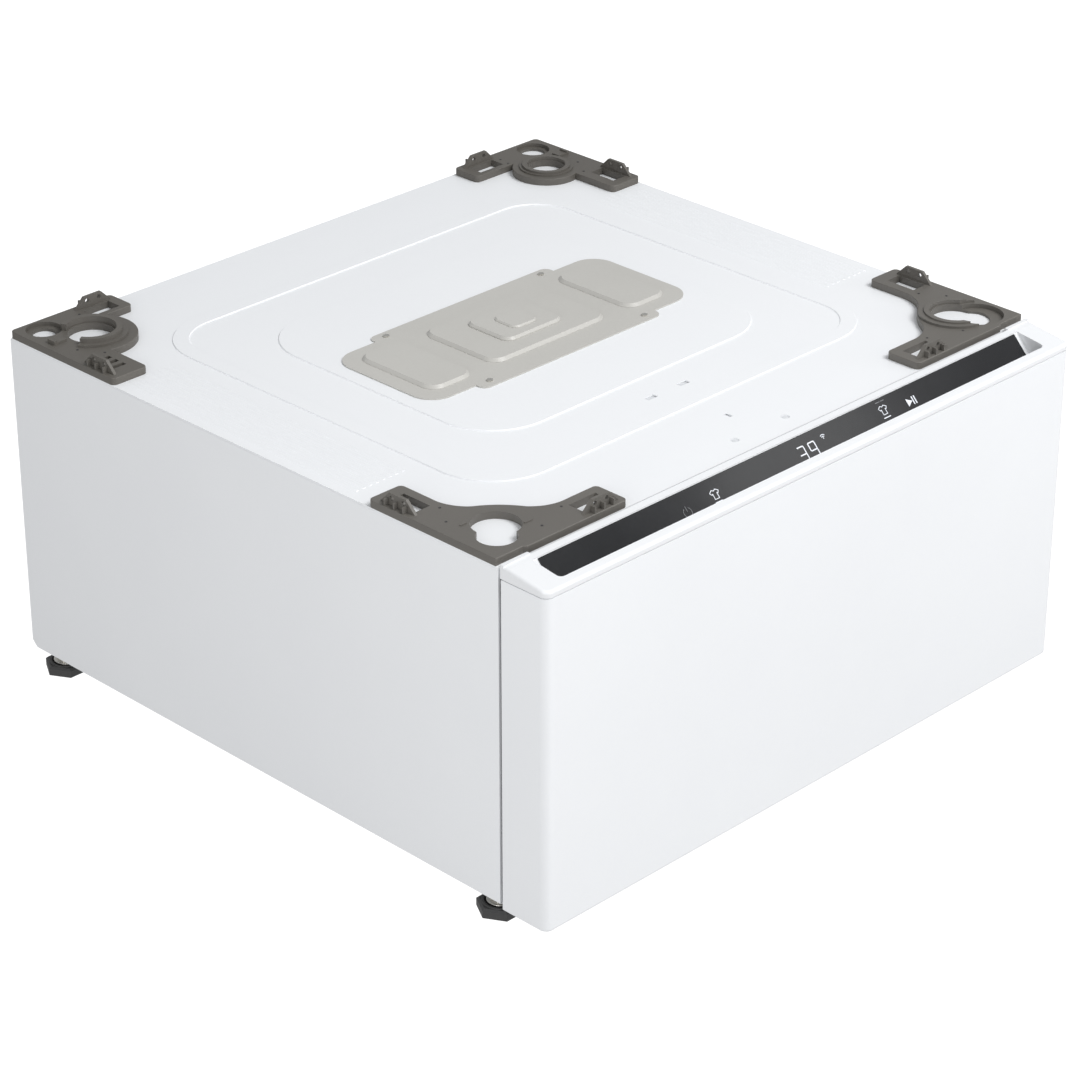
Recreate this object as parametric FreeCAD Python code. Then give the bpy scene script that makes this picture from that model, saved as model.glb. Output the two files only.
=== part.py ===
"""Pedestal washing machine: a low drawer-type washer that stands under a full-size machine.

Parts are drawn with +Z up, the front facing -Y and y = 0 at the cabinet's front edge. On export they all
move by -ORIGIN_Y, so that the origin is on the floor under the middle of the whole machine.
All sizes are in millimetres. Each sub-part is written to parts/NODE.step.
"""

import FreeCAD
import Part
import math
import os

V = FreeCAD.Vector

# ---- driving dimensions -------------------------------------------------------------------
WIDTH = 686.0  # 27 inch cabinet
DEPTH = 640.0  # cabinet, without the drawer front
TOP_Z = 350.0  # upper face of the top panel
BASE_Z = 25.0  # lower edge of the cabinet, the feet fill the rest
SHEET = 1.2  # painted steel sheet
HALF = WIDTH / 2

FRONT_Y = -55.0  # outer face of the drawer front
GAP = 3.0  # gap between the drawer front and the cabinet
FRONT_LOW_Z = 20.0
FRONT_TOP_Z = 340.0  # seam between the painted front and the plastic cap
CORNER_R = 8.0  # vertical corners of the drawer front

SPIGOT_END_Y = 661.0  # the drain spigot reaches furthest back
ORIGIN_Y = (FRONT_Y + SPIGOT_END_Y) / 2

TUB_Y = 292.0  # middle of the tub, drum and motor
TUB_R = 248.0
TUB_LOW_Z = 94.0
TUB_TOP_Z = 290.0
DRUM_R = 225.0
DRUM_LOW_Z = 122.0
DRUM_TOP_Z = 284.0
MOUTH_R = 182.0  # loading mouth of tub, gasket and deck

PAN_HALF = 327.0  # drawer pan, between the slides
PAN_Y1 = 602.0
PAN_LOW_Z = 40.0
PAN_TOP_Z = 306.0
DECK_Z = 320.0  # upper face of the drawer deck
LID_HALF = 208.0
LID_Y0, LID_Y1 = 74.0, 504.0
LID_SEAT_Z = 310.0
HINGE_Y, HINGE_Z = 510.0, 316.0

SLIDE_LOW_Z, SLIDE_HIGH_Z = 84.0, 144.0
SLIDE_Y0, SLIDE_Y1 = 6.0, 576.0

FOOT_X, FOOT_FRONT_Y, FOOT_REAR_Y = 320.0, 23.0, 619.0
STUD_R = 5.0

BRACKET_T = 7.0
BRACKET_Z = TOP_Z + BRACKET_T


# ---- small helpers ------------------------------------------------------------------------
def box(x0, x1, y0, y1, z0, z1):
    return Part.makeBox(x1 - x0, y1 - y0, z1 - z0, V(x0, y0, z0))


def cyl(x, y, z0, z1, r):
    return Part.makeCylinder(r, z1 - z0, V(x, y, z0), V(0, 0, 1))


def ring(x, y, z0, z1, r_in, r_out):
    return cyl(x, y, z0, z1, r_out).cut(cyl(x, y, z0 - 1, z1 + 1, r_in))


def bar(axis, start, length, r):
    return Part.makeCylinder(r, length, V(*start), V(*axis))


def fuse(shapes):
    shapes = list(shapes)
    whole = shapes[0].multiFuse(shapes[1:]) if len(shapes) > 1 else shapes[0]
    return whole.removeSplitter()


def cut(shape, tools):
    for tool in tools:
        shape = shape.cut(tool)
    return shape


def face_of(points):
    wire = Part.makePolygon([V(*p) for p in points] + [V(*points[0])])
    return Part.Face(wire)


def prism_yz(points, x0, x1):
    """A profile given as (y, z) points, pulled along X."""
    return face_of([(x0, y, z) for y, z in points]).extrude(V(x1 - x0, 0, 0))


def rounded(x0, x1, y0, y1, z0, z1, r):
    """A box whose four upright corners are rounded."""
    body = box(x0, x1, y0, y1, z0, z1)
    upright = [e for e in body.Edges if abs(e.tangentAt(e.FirstParameter).z) > 0.99]
    return body.makeFillet(r, upright)


def edges_at_z(shape, z):
    """Edges that lie flat at height z."""
    return [e for e in shape.Edges if abs(e.BoundBox.ZMin - z) < 1e-4 and abs(e.BoundBox.ZMax - z) < 1e-4]


def sloped(x0, x1, y0, y1, z0, z1, r, slope):
    """A pressed plateau: a rounded box whose upper edge is chamfered into a sloping wall."""
    body = rounded(x0, x1, y0, y1, z0, z1, r)
    return body.makeChamfer(slope, edges_at_z(body, z1))


def softened(shape, r, z):
    """Rounds every flat edge at height z, and leaves the shape as it is where a round won't fit."""
    try:
        soft = shape.makeFillet(r, edges_at_z(shape, z))
        return soft if soft.isValid() and soft.Volume > 0 else shape
    except Exception:
        return shape


def mirror_x(shape):
    return shape.mirror(V(0, 0, 0), V(1, 0, 0))


def around(shape, count, y=TUB_Y, x=0.0, first=0.0):
    """Copies of a shape turned about the upright axis through (x, y)."""
    copies = []
    for n in range(count):
        copy = shape.copy()
        copy.rotate(V(x, y, 0), V(0, 0, 1), first + 360.0 * n / count)
        copies.append(copy)
    return copies


def export(name, shape):
    solids = shape.Solids
    if not shape.isValid() or not solids:
        raise ValueError(f"{name} is not a valid solid")
    whole = solids[0].copy() if len(solids) == 1 else Part.makeCompound(solids)
    whole.translate(V(0, -ORIGIN_Y, 0))
    whole.exportStep(f"parts/{name}.step")
    print(f"{name}: {len(solids)} solid(s), {sum(s.Volume for s in solids) / 1000:.1f} cm3")


# ---- cabinet ------------------------------------------------------------------------------
FLANGE = 15.0
HEM = 2.4


def left_side_panel():
    outer = box(-HALF, -HALF + FLANGE, 0, DEPTH, BASE_Z, TOP_Z - SHEET)
    long_edges = [e for e in outer.Edges if abs(e.CenterOfMass.x + HALF) < 0.1 and e.Length > 500]
    outer = outer.makeFillet(1.5, long_edges)
    inner = box(-HALF + SHEET, 0, -5, DEPTH - SHEET, BASE_Z + SHEET, TOP_Z - 2 * SHEET)
    hem = box(-HALF + 0.2, -HALF + HEM, 0, 12, BASE_Z + 2, TOP_Z - 2 * SHEET)
    clipped = [(DEPTH - 8, BASE_Z - 1), (DEPTH + 1, BASE_Z - 1), (DEPTH + 1, BASE_Z + 8)]
    corner = prism_yz(clipped, -HALF - 1, 0)
    return cut(fuse([outer.cut(inner), hem]), [corner])


BEAD_X, BEAD_Y0, BEAD_Y1 = 256.0, 95.0, 552.0
BEAD_W, BEAD_H, BEAD_R = 16.0, 1.0, 62.0
PLATEAU_X, PLATEAU_Y0, PLATEAU_Y1, PLATEAU_H = 187.0, 166.0, 482.0, 1.1
COVER_Y = (PLATEAU_Y0 + PLATEAU_Y1) / 2


def bead(low, high):
    """Frame-shaped ridge with sloping walls on both sides."""
    w = BEAD_W
    outer = rounded(-BEAD_X, BEAD_X, BEAD_Y0, BEAD_Y1, low, high, BEAD_R)
    inner = rounded(-BEAD_X + w, BEAD_X - w, BEAD_Y0 + w, BEAD_Y1 - w, low - 1, high + 1, BEAD_R - w)
    ridge = outer.cut(inner)
    return ridge.makeChamfer(BEAD_H - 0.3, edges_at_z(ridge, high))


def top_panel():
    sheet = rounded(-HALF, HALF, 0, DEPTH, TOP_Z - SHEET, TOP_Z, 4)
    parts, hollows = [sheet], []
    for lift, group in ((0.0, parts), (-SHEET, hollows)):
        low = TOP_Z - SHEET - 0.3
        group.append(bead(low, TOP_Z + BEAD_H + lift))
        group.append(sloped(-PLATEAU_X, PLATEAU_X, PLATEAU_Y0, PLATEAU_Y1, low,
                            TOP_Z + PLATEAU_H + lift, 60, PLATEAU_H - 0.3))
    rib_count, rib_pitch, rib_r, rib_high = 8, 7.6, 4.0, 0.6
    for side in (-1, 1):
        for n in range(rib_count):
            x = side * (277 + n * rib_pitch)
            rib = bar((0, 1, 0), (x, 182, TOP_Z - rib_r + rib_high), 306, rib_r)
            parts.append(rib.common(box(x - 5, x + 5, 180, 490, TOP_Z - 0.2, TOP_Z + 5)))
    panel = fuse(parts)
    service = box(-120, 120, COVER_Y - 48, COVER_Y + 48, TOP_Z - 5, TOP_Z + 10)
    holes = [cyl(x, 22, TOP_Z - 5, TOP_Z + 5, 4) for x in (-33, 33)]
    holes += [box(x - 6, x + 6, 130, 136, TOP_Z - 5, TOP_Z + 5) for x in (-21, 21)]
    holes += [box(-2, 2, 56, 64, TOP_Z - 5, TOP_Z + 5), service]
    return cut(panel, hollows + holes)


def access_cover():
    """Pressed plate over the service opening in the top, with five raised pads."""
    low, high, pad = TOP_Z + PLATEAU_H + 0.1, TOP_Z + PLATEAU_H + 1.3, 3.2
    ends = rounded(-171, 171, COVER_Y - 66, COVER_Y + 66, low, high, 24)
    ears = rounded(-116, 116, COVER_Y - 77, COVER_Y + 77, low, high, 8)
    parts, hollows = [ends, ears], []
    for lift, group in ((0.0, parts), (-1.2, hollows)):
        under = low - 0.2 if lift else low + 0.2
        for x0, x1 in ((-154, -100), (100, 154)):
            group.append(sloped(x0, x1, COVER_Y - 50, COVER_Y + 52, under, high + pad + lift, 15, pad - 0.4))
        group.append(sloped(-75, 75, COVER_Y - 48, COVER_Y + 50, under, high + pad + lift, 15, pad - 0.4))
        group.append(sloped(-37, 37, COVER_Y - 27, COVER_Y + 31, under, high + 2 * pad + lift, 10, 2.2))
        group.append(sloped(-16, 16, COVER_Y - 15, COVER_Y + 17, under, high + 2.6 * pad + lift, 8, 1.4))
    plate = fuse(parts)
    screws = [cyl(x, COVER_Y + y, low - 1, high + 1, 2.0) for x in (-101, 101) for y in (-68, 68)]
    return cut(plate, hollows + screws)


def cover_screws():
    """Pan-head screws that hold the cover plate down."""
    heads = []
    for x in (-101, 101):
        for y in (-68, 68):
            base = TOP_Z + PLATEAU_H + 1.4
            heads.append(fuse([cyl(x, COVER_Y + y, base, base + 1.2, 2.9),
                               cyl(x, COVER_Y + y, TOP_Z + PLATEAU_H + 0.05, base + 0.5, 1.7)]))
    return Part.makeCompound(heads)


def rear_panel():
    y0 = DEPTH - 2 * SHEET - 0.1
    plate = box(-HALF + 4, HALF - 4, y0, y0 + SHEET, BASE_Z + 3, TOP_Z - 4)
    rim = box(-HALF + 18, HALF - 18, y0 - 8, y0 + 0.1, TOP_Z - 12, TOP_Z - 10.8)
    tools = [bar((0, 1, 0), (x, y0 - 5, VALVE_Z), 20, 15) for x in VALVE_X]
    tools.append(bar((0, 1, 0), (DRAIN_X, y0 - 5, DRAIN_Z), 20, 13))
    tools.append(bar((0, 1, 0), (POWER_X, y0 - 5, POWER_Z), 20, 9.2))
    vents = [rounded_slot(x, y0, 250) for x in range(-60, 61, 20)]
    return cut(fuse([plate, rim]), tools + vents)


def rounded_slot(x, y, z):
    return box(x - 3, x + 3, y - 5, y + 5, z, z + 45)


def base_pan():
    outer = box(-HALF + HEM + 0.4, HALF - HEM - 0.4, 3, DEPTH - 4, BASE_Z + SHEET + 0.1, 36)
    inner = box(-HALF + HEM + 2, HALF - HEM - 2, 5, DEPTH - 6, BASE_Z + 3, 40)
    pan = outer.cut(inner)
    ribs = [box(-230, 230, y - 9, y + 9, BASE_Z + 2.5, BASE_Z + 7) for y in (150, 250, 350, 450)]
    places = [(sx * FOOT_X, y) for sx in (-1, 1) for y in (FOOT_FRONT_Y, FOOT_REAR_Y)]
    bosses = [cyl(x, y, BASE_Z + 2, 35, 11) for x, y in places]
    threads = [cyl(x, y, BASE_Z - 2, 45, STUD_R + 0.08) for x, y in places]
    return cut(fuse([pan] + ribs + bosses), threads)


def hexagon(x, y, z0, z1, across):
    r = across / math.sqrt(3)
    angles = [math.radians(60 * n) for n in range(6)]
    points = [(x + r * math.cos(a), y + r * math.sin(a), z0) for a in angles]
    return face_of(points).extrude(V(0, 0, z1 - z0))


NUT_LOW_Z = 19.4


def lock_nuts():
    """Hexagonal nuts that lock the studs against the bottom flanges."""
    nuts = []
    for sx in (-1, 1):
        for y in (FOOT_FRONT_Y, FOOT_REAR_Y):
            nut = hexagon(sx * FOOT_X, y, NUT_LOW_Z, BASE_Z - 0.05, 17)
            nuts.append(nut.cut(cyl(sx * FOOT_X, y, 0, 40, STUD_R + 0.08)))
    return Part.makeCompound(nuts)


def foot(x, y):
    """Levelling foot: hexagonal pad with a dished top, and a stud into the base."""
    pad = hexagon(x, y, 0, 9, 38)
    pad = pad.makeChamfer(2.0, edges_at_z(pad, 9))
    dish = ring(x, y, 6, 12, 7.5, 14)
    stud = cyl(x, y, 2, 36, STUD_R)
    return fuse([pad.cut(dish), stud])


# ---- corner brackets ----------------------------------------------------------------------
LEG_W = 38.0
WELL_R = 22.0
RIGHT_WELL_R = 18.5  # the rear right well is narrower, inside a full collar
REAR_LUG_X, REAR_LUG_Y = 70.0, 102.0
FRONT_LUG_X, FRONT_LUG_Y = 105.0, 104.0


def arc(a, b, c):
    return Part.Arc(V(*a), V(*b), V(*c)).toShape()


def line(a, b):
    return Part.LineSegment(V(*a), V(*b)).toShape()


def plate_from(edges, height):
    return Part.Face(Part.Wire(edges)).extrude(V(0, 0, height))


def lug(along_x, start, z):
    """Upright ear on a leg's outer edge, with two holes, ribs behind it and a window beside it."""
    length, high, wall, slant, hole_z = 42.0, 11.0, 3.0, 11.0, 6.6
    hole_at, rib_at = (14.0, 28.0), (9.0, 20.2, 31.4)
    profile = [(start, 0), (start + length, 0), (start + length - slant, high), (start + slant, high)]
    if along_x:
        ear = face_of([(a, 6.0, z + h) for a, h in profile]).extrude(V(0, wall, 0))
        holes = [bar((0, 1, 0), (start + d, 0, z + hole_z), 12, 2.2) for d in hole_at]
        ribs = [box(start + d, start + d + 1.6, 1.2, 6.5, z - 0.5, z + 6) for d in rib_at]
    else:
        ear = face_of([(6.0, a, z + h) for a, h in profile]).extrude(V(wall, 0, 0))
        holes = [bar((1, 0, 0), (0, start + d, z + hole_z), 12, 2.2) for d in hole_at]
        ribs = [box(1.2, 6.5, start + d, start + d + 1.6, z - 0.5, z + 6) for d in rib_at]
    return [ear.cut(fuse(holes))] + ribs


def window(along_x, start):
    """Rectangular slot through a leg, just inside the lug."""
    first, last, near, far = start + 5, start + 37, 11.0, 28.0
    if along_x:
        return box(first, last, near, far, TOP_Z - 2, TOP_Z + 30)
    return box(near, far, first, last, TOP_Z - 2, TOP_Z + 30)


def slots(start):
    """Three narrow slots across the side leg, in place of one window."""
    return fuse([box(12, 29, start + d, start + d + 5, TOP_Z - 2, TOP_Z + 30) for d in (6, 16, 26)])


def collar(x, y, z, high, gap_from, gap_to, well_r=WELL_R):
    """C-shaped collar round a well, open between two angles in degrees."""
    wall = ring(x, y, z, z + high, well_r + 1.5, well_r + 6.5)
    step = ring(x, y, z, z + 2.4, well_r + 5.5, well_r + 12)
    wedge = [V(x, y, z + 0.01)]
    steps = 8
    for n in range(steps + 1):
        a = math.radians(gap_from + (gap_to - gap_from) * n / steps)
        wedge.append(V(x + 60 * math.cos(a), y + 60 * math.sin(a), z + 0.01))
    gap = Part.Face(Part.makePolygon(wedge + [wedge[0]])).extrude(V(0, 0, 30))
    return [wall.cut(gap), step.cut(gap)]


def rear_bracket(well_r, cx, cy, small_r, gap, slotted):
    """Bracket in corner coordinates: x runs inwards from the side, y forwards from the back."""
    z = TOP_Z + 0.05
    back_leg, side_leg, back_w, side_w = 118.0, 150.0, 34.0, 40.0
    bulge = well_r + (21.0 if gap else 16.0)
    meet_x = cx + math.sqrt(bulge ** 2 - (back_w - cy) ** 2)
    meet_y = cy + math.sqrt(bulge ** 2 - (side_w - cx) ** 2)
    middle = (cx + bulge * math.sqrt(0.5), cy + bulge * math.sqrt(0.5), z)
    outline = [line((0, 0, z), (back_leg, 0, z)), line((back_leg, 0, z), (back_leg, back_w, z)),
               line((back_leg, back_w, z), (meet_x, back_w, z)),
               arc((meet_x, back_w, z), middle, (side_w, meet_y, z)),
               line((side_w, meet_y, z), (side_w, side_leg, z)),
               line((side_w, side_leg, z), (0, side_leg, z)),
               line((0, side_leg, z), (0, 0, z))]
    plate = plate_from(outline, BRACKET_T)
    rounded_at = ((0, 0), (back_leg, 0), (back_leg, back_w), (side_w, side_leg), (0, side_leg))
    corners = [e for e in plate.Edges if abs(e.tangentAt(e.FirstParameter).z) > 0.99
               and any(math.hypot(e.CenterOfMass.x - x, e.CenterOfMass.y - y) < 1 for x, y in rounded_at)]
    plate = softened(plate.makeFillet(5, corners), 0.8, z + BRACKET_T)
    top = z + BRACKET_T - 0.1
    if gap:
        extras = collar(cx, cy, top, 6.5, gap[0], gap[1], well_r)
    else:
        extras = [ring(cx, cy, top, top + 3.6, well_r + 1.0, well_r + 6),
                  ring(cx, cy, top, top + 1.6, well_r + 5.5, well_r + 9)]
    extras += lug(True, REAR_LUG_X, top) + lug(False, REAR_LUG_Y, top)
    extras += [box(8, 22, 46, 56, top, top + 2.4), box(8, 11, 46, 56, top, top + 4)]
    wells = [cyl(cx, cy, 0, 400, well_r), cyl(24, 20, z + 3, 400, 17), cyl(24, 20, 0, 400, small_r),
             window(True, REAR_LUG_X), slots(REAR_LUG_Y) if slotted else window(False, REAR_LUG_Y)]
    return cut(fuse([plate] + extras), wells)


def front_bracket(collared):
    """Bracket in corner coordinates: x runs inwards from the side, y backwards from the front."""
    z = TOP_Z + 0.05
    side_leg, front_leg, cx, cy = 155.0, 153.0, 44.0, 47.0
    step_x, step_y = 31.0, 3.0  # room for the raised corner of the drawer's cap
    outline = [line((0, step_y, z), (step_x, step_y, z)), line((step_x, step_y, z), (step_x + 3, 0.5, z)),
               line((step_x + 3, 0.5, z), (front_leg, 0.5, z)),
               line((front_leg, 0.5, z), (front_leg, LEG_W, z)),
               line((front_leg, LEG_W, z), (118, LEG_W, z)), arc((118, LEG_W, z), (99, 41, z), (84, 52, z)),
               arc((84, 52, z), (71, 69, z), (52, 84, z)), arc((52, 84, z), (41, 99, z), (LEG_W, 118, z)),
               line((LEG_W, 118, z), (LEG_W, side_leg, z)), line((LEG_W, side_leg, z), (0, side_leg, z)),
               line((0, side_leg, z), (0, step_y, z))]
    plate = plate_from(outline, BRACKET_T)
    corners = [e for e in plate.Edges if abs(e.tangentAt(e.FirstParameter).z) > 0.99
               and any(math.hypot(e.CenterOfMass.x - x, e.CenterOfMass.y - y) < 1
                       for x, y in ((front_leg, 0.5), (front_leg, LEG_W), (LEG_W, side_leg), (0, side_leg)))]
    plate = softened(plate.makeFillet(5, corners), 0.8, z + BRACKET_T)
    top = z + BRACKET_T - 0.1
    extras = lug(True, FRONT_LUG_X, top) + lug(False, FRONT_LUG_Y, top)
    wells = [cyl(cx, cy, 0, 400, WELL_R), window(True, FRONT_LUG_X), window(False, FRONT_LUG_Y)]
    if collared:
        extras += [s.cut(cyl(29, 31, 0, 400, 27)) for s in collar(cx, cy, top, 4, 185, 265)]
        wells += [cyl(29, 31, z + 2.5, 400, 24), cyl(33, 35, 0, 400, 17)]
    else:
        wells += [cyl(29, 31, 0, 400, 18)]
        extras += [box(cx - 24, cx - 17, cy + 17, cy + 19, top, top + 0.9),
                   box(cx + 17, cx + 26, cy - 17, cy - 15, top, top + 0.9)]
    return cut(fuse([plate] + extras), wells)


def placed(shape, side, at_back):
    """Moves a bracket from corner coordinates into its corner of the top panel."""
    if at_back:
        shape = shape.mirror(V(0, 0, 0), V(0, 1, 0))
        shape.translate(V(-HALF, DEPTH, 0))
    else:
        shape.translate(V(-HALF, 0, 0))
    return shape if side < 0 else mirror_x(shape)


# ---- water and power connections on the back ----------------------------------------------
VALVE_X, VALVE_Z = (-250.0, -200.0), 250.0
DRAIN_X, DRAIN_Z = 240.0, 230.0
POWER_X, POWER_Z = 180.0, 290.0
PORT_R = 13.2


def inlet_valve():
    """Twin inlet valve: two threaded ports outside the back, two solenoids inside."""
    face = DEPTH - 2 * SHEET - 0.3
    parts = [box(-285, -165, face - 6, face, VALVE_Z - 24, VALVE_Z + 24)]
    bores = []
    for x in VALVE_X:
        parts.append(bar((0, 1, 0), (x, face - 14, VALVE_Z), 34, PORT_R))
        parts.append(box(x - 14, x + 14, face - 26, face - 5, VALVE_Z - 12, VALVE_Z + 22))
        bores.append(bar((0, 1, 0), (x, face - 4, VALVE_Z), 30, 9.0))
    return cut(fuse(parts), bores)


def drain_spigot():
    face = DEPTH - 2 * SHEET - 0.3
    body = fuse([bar((0, 1, 0), (DRAIN_X, face - 4, DRAIN_Z), 4, 20),
                 bar((0, 1, 0), (DRAIN_X, face - 18, DRAIN_Z), SPIGOT_END_Y - face + 18, 12)])
    return body.cut(bar((0, 1, 0), (DRAIN_X, face - 30, DRAIN_Z), 70, 9.5))


def power_gland():
    face = DEPTH - 2 * SHEET - 0.3
    body = fuse([bar((0, 1, 0), (POWER_X, face - 10, POWER_Z), 24, 9),
                 bar((0, 1, 0), (POWER_X, face + SHEET + 0.4, POWER_Z), 4, 14)])
    return body.cut(bar((0, 1, 0), (POWER_X, face - 15, POWER_Z), 40, 4.5))


# ---- drawer slides ------------------------------------------------------------------------
def channel(x0, x1, z_in, wall_at_low_x):
    """C-shaped rail: wall on one side, lips above and below. z_in is how far it nests in the outer rail."""
    low, high = SLIDE_LOW_Z + z_in, SLIDE_HIGH_Z - z_in
    t = 1.5
    wall = box(x0, x0 + t, SLIDE_Y0, SLIDE_Y1, low, high) if wall_at_low_x else box(
        x1 - t, x1, SLIDE_Y0, SLIDE_Y1, low, high)
    lips = [box(x0, x1, SLIDE_Y0, SLIDE_Y1, z, z + t) for z in (low, high - t)]
    return fuse([wall] + lips)


def slide_outer_left():
    return channel(-HALF + HEM + 0.2, -329.0, 0, True)


def slide_mid_left():
    return channel(-337.6, -330.6, 4.0, True)


def slide_inner_left():
    return channel(-335.2, -PAN_HALF - 0.02, 8.0, False)


# ---- drawer -------------------------------------------------------------------------------
PAN_T = 1.5


def drawer_pan():
    outer = box(-PAN_HALF, PAN_HALF, -GAP, PAN_Y1, PAN_LOW_Z, PAN_TOP_Z)
    inner = box(-PAN_HALF + PAN_T, PAN_HALF - PAN_T, -GAP + PAN_T, PAN_Y1 - PAN_T,
                PAN_LOW_Z + PAN_T, PAN_TOP_Z + 5)
    return outer.cut(inner)


def front_panel():
    """Painted steel front, folded back at the sides and the bottom."""
    def shell(inset, back, low):
        body = box(-HALF + inset, HALF - inset, FRONT_Y + inset, back, low, FRONT_TOP_Z - 0.2)
        front = [e for e in body.Edges if abs(e.tangentAt(e.FirstParameter).z) > 0.99
                 and abs(e.CenterOfMass.y - FRONT_Y - inset) < 0.1]
        return body.makeFillet(CORNER_R - inset, front)

    outer = shell(0, -GAP, FRONT_LOW_Z)
    bottom = [e for e in edges_at_z(outer, FRONT_LOW_Z) if e.CenterOfMass.y < -GAP - 1]
    outer = outer.makeFillet(2.5, bottom)
    hollow = shell(SHEET, 5, FRONT_LOW_Z + SHEET)
    hollow = fuse([hollow, box(-HALF + 20, HALF - 20, FRONT_Y + 20, 5, 100, FRONT_TOP_Z + 5)])
    tall = shell(SHEET, 5, FRONT_LOW_Z + SHEET)
    tall.translate(V(0, 0, 5))
    return outer.cut(hollow).cut(tall)


def front_liner():
    """Flat inner skin that closes the back of the drawer front."""
    liner = rounded_xz(-HALF + SHEET + 0.3, HALF - SHEET - 0.3, -GAP - 2.6, -GAP - 0.1,
                       FRONT_LOW_Z + SHEET + 0.3, POCKET_LOW_Z - 3)
    return liner


def rounded_xz(x0, x1, y0, y1, z0, z1):
    body = box(x0, x1, y0, y1, z0, z1)
    return body.makeFillet(3, [e for e in body.Edges if abs(e.tangentAt(e.FirstParameter).y) > 0.99])


CAP_BACK_Z = 354.0
CAP_FRONT_Z = 346.5
SLOPE_TOP_Y, SLOPE_TOP_Z = -12.5, 351.6  # upper edge of the sloping control face
LIP_Y = -45.0  # rear face of the finger lip
POCKET_LOW_Z = 321.0
POCKET_X = 317.0


def control_cap():
    """Plastic top of the drawer front: sloping control face, finger pocket and front lip."""
    profile = [(-5, FRONT_TOP_Z), (-5, CAP_BACK_Z - 1), (-12, CAP_BACK_Z - 1.6), (FRONT_Y, CAP_FRONT_Z),
               (FRONT_Y, FRONT_TOP_Z)]
    body = prism_yz(profile, -HALF, HALF)
    front = [e for e in body.Edges if abs(e.tangentAt(e.FirstParameter).z) > 0.99
             and abs(e.CenterOfMass.y - FRONT_Y) < 0.1]
    body = body.makeFillet(CORNER_R, front)
    rim = [e for e in body.Edges if e.CenterOfMass.z > CAP_FRONT_Z - 2 and e.BoundBox.YMax < -4.9
           and e.BoundBox.ZMin > FRONT_TOP_Z + 2 and e.BoundBox.YMin < -13]
    try:
        soft = body.makeFillet(3.2, rim)
        body = soft if soft.isValid() else body
    except Exception:
        print("control_cap: rim left sharp")
    foot_edges = [e for e in edges_at_z(body, FRONT_TOP_Z) if e.CenterOfMass.y < -6]
    body = body.makeChamfer(0.7, foot_edges)  # shadow line above the painted front
    corner = box(HALF - 31, HALF, -6, -0.8, FRONT_TOP_Z + 0.7, CAP_BACK_Z)
    rear_edges = [e for e in corner.Edges if e.CenterOfMass.y > -1 and e.CenterOfMass.z > 345]
    corner = corner.makeFillet(2.0, rear_edges)
    trough = prism_yz([(-5, FRONT_TOP_Z + 1), (-5, 334), (-38, POCKET_LOW_Z - 2.5),
                       (LIP_Y - 3, POCKET_LOW_Z - 2.5),
                       (LIP_Y - 3, FRONT_TOP_Z + 1)], -POCKET_X - 2.5, POCKET_X + 2.5)
    pocket = prism_yz([(SLOPE_TOP_Y, SLOPE_TOP_Z + 10), (SLOPE_TOP_Y, SLOPE_TOP_Z), (LIP_Y + 3, POCKET_LOW_Z),
                       (LIP_Y, POCKET_LOW_Z), (LIP_Y, 360)], -POCKET_X, POCKET_X)
    upright = [e for e in pocket.Edges if abs(e.tangentAt(e.FirstParameter).z) > 0.99
               and abs(e.CenterOfMass.y - LIP_Y) < 0.1]
    pocket = pocket.makeFillet(5, upright)
    hollow = box(-HALF + 4, HALF - 4, FRONT_Y + 3.2, LIP_Y - 3.2, 330, CAP_FRONT_Z - 3.4)
    board_room = prism_yz([(-7.6, 315), (-7.6, 348), slope_point(0.05, -3), slope_point(0.72, -3),
                           (slope_point(0.72, -3)[0], 315)], -POCKET_X + 6, POCKET_X - 6)
    return cut(fuse([body, corner, mirror_x(corner), trough]), [pocket, hollow, board_room])


def slope_point(t, lift=0.0):
    """Point on the sloping face, t from 0 at its upper edge to 1 at its foot, lifted off it by lift."""
    dy, dz = LIP_Y + 3 - SLOPE_TOP_Y, POCKET_LOW_Z - SLOPE_TOP_Z
    length = math.hypot(dy, dz)
    return (SLOPE_TOP_Y + dy * t + lift * dz / length, SLOPE_TOP_Z + dz * t - lift * dy / length)


def control_glass():
    """Black touch strip laid on the sloping face."""
    points = [slope_point(0.015, 0.05), slope_point(0.97, 0.05),
              slope_point(0.97, 1.3), slope_point(0.015, 1.3)]
    return prism_yz(points, -311, 311)


def display_board():
    points = [slope_point(0.1, -5), slope_point(0.62, -5), slope_point(0.62, -6.6), slope_point(0.1, -6.6)]
    return prism_yz(points, -150, 150)


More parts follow.
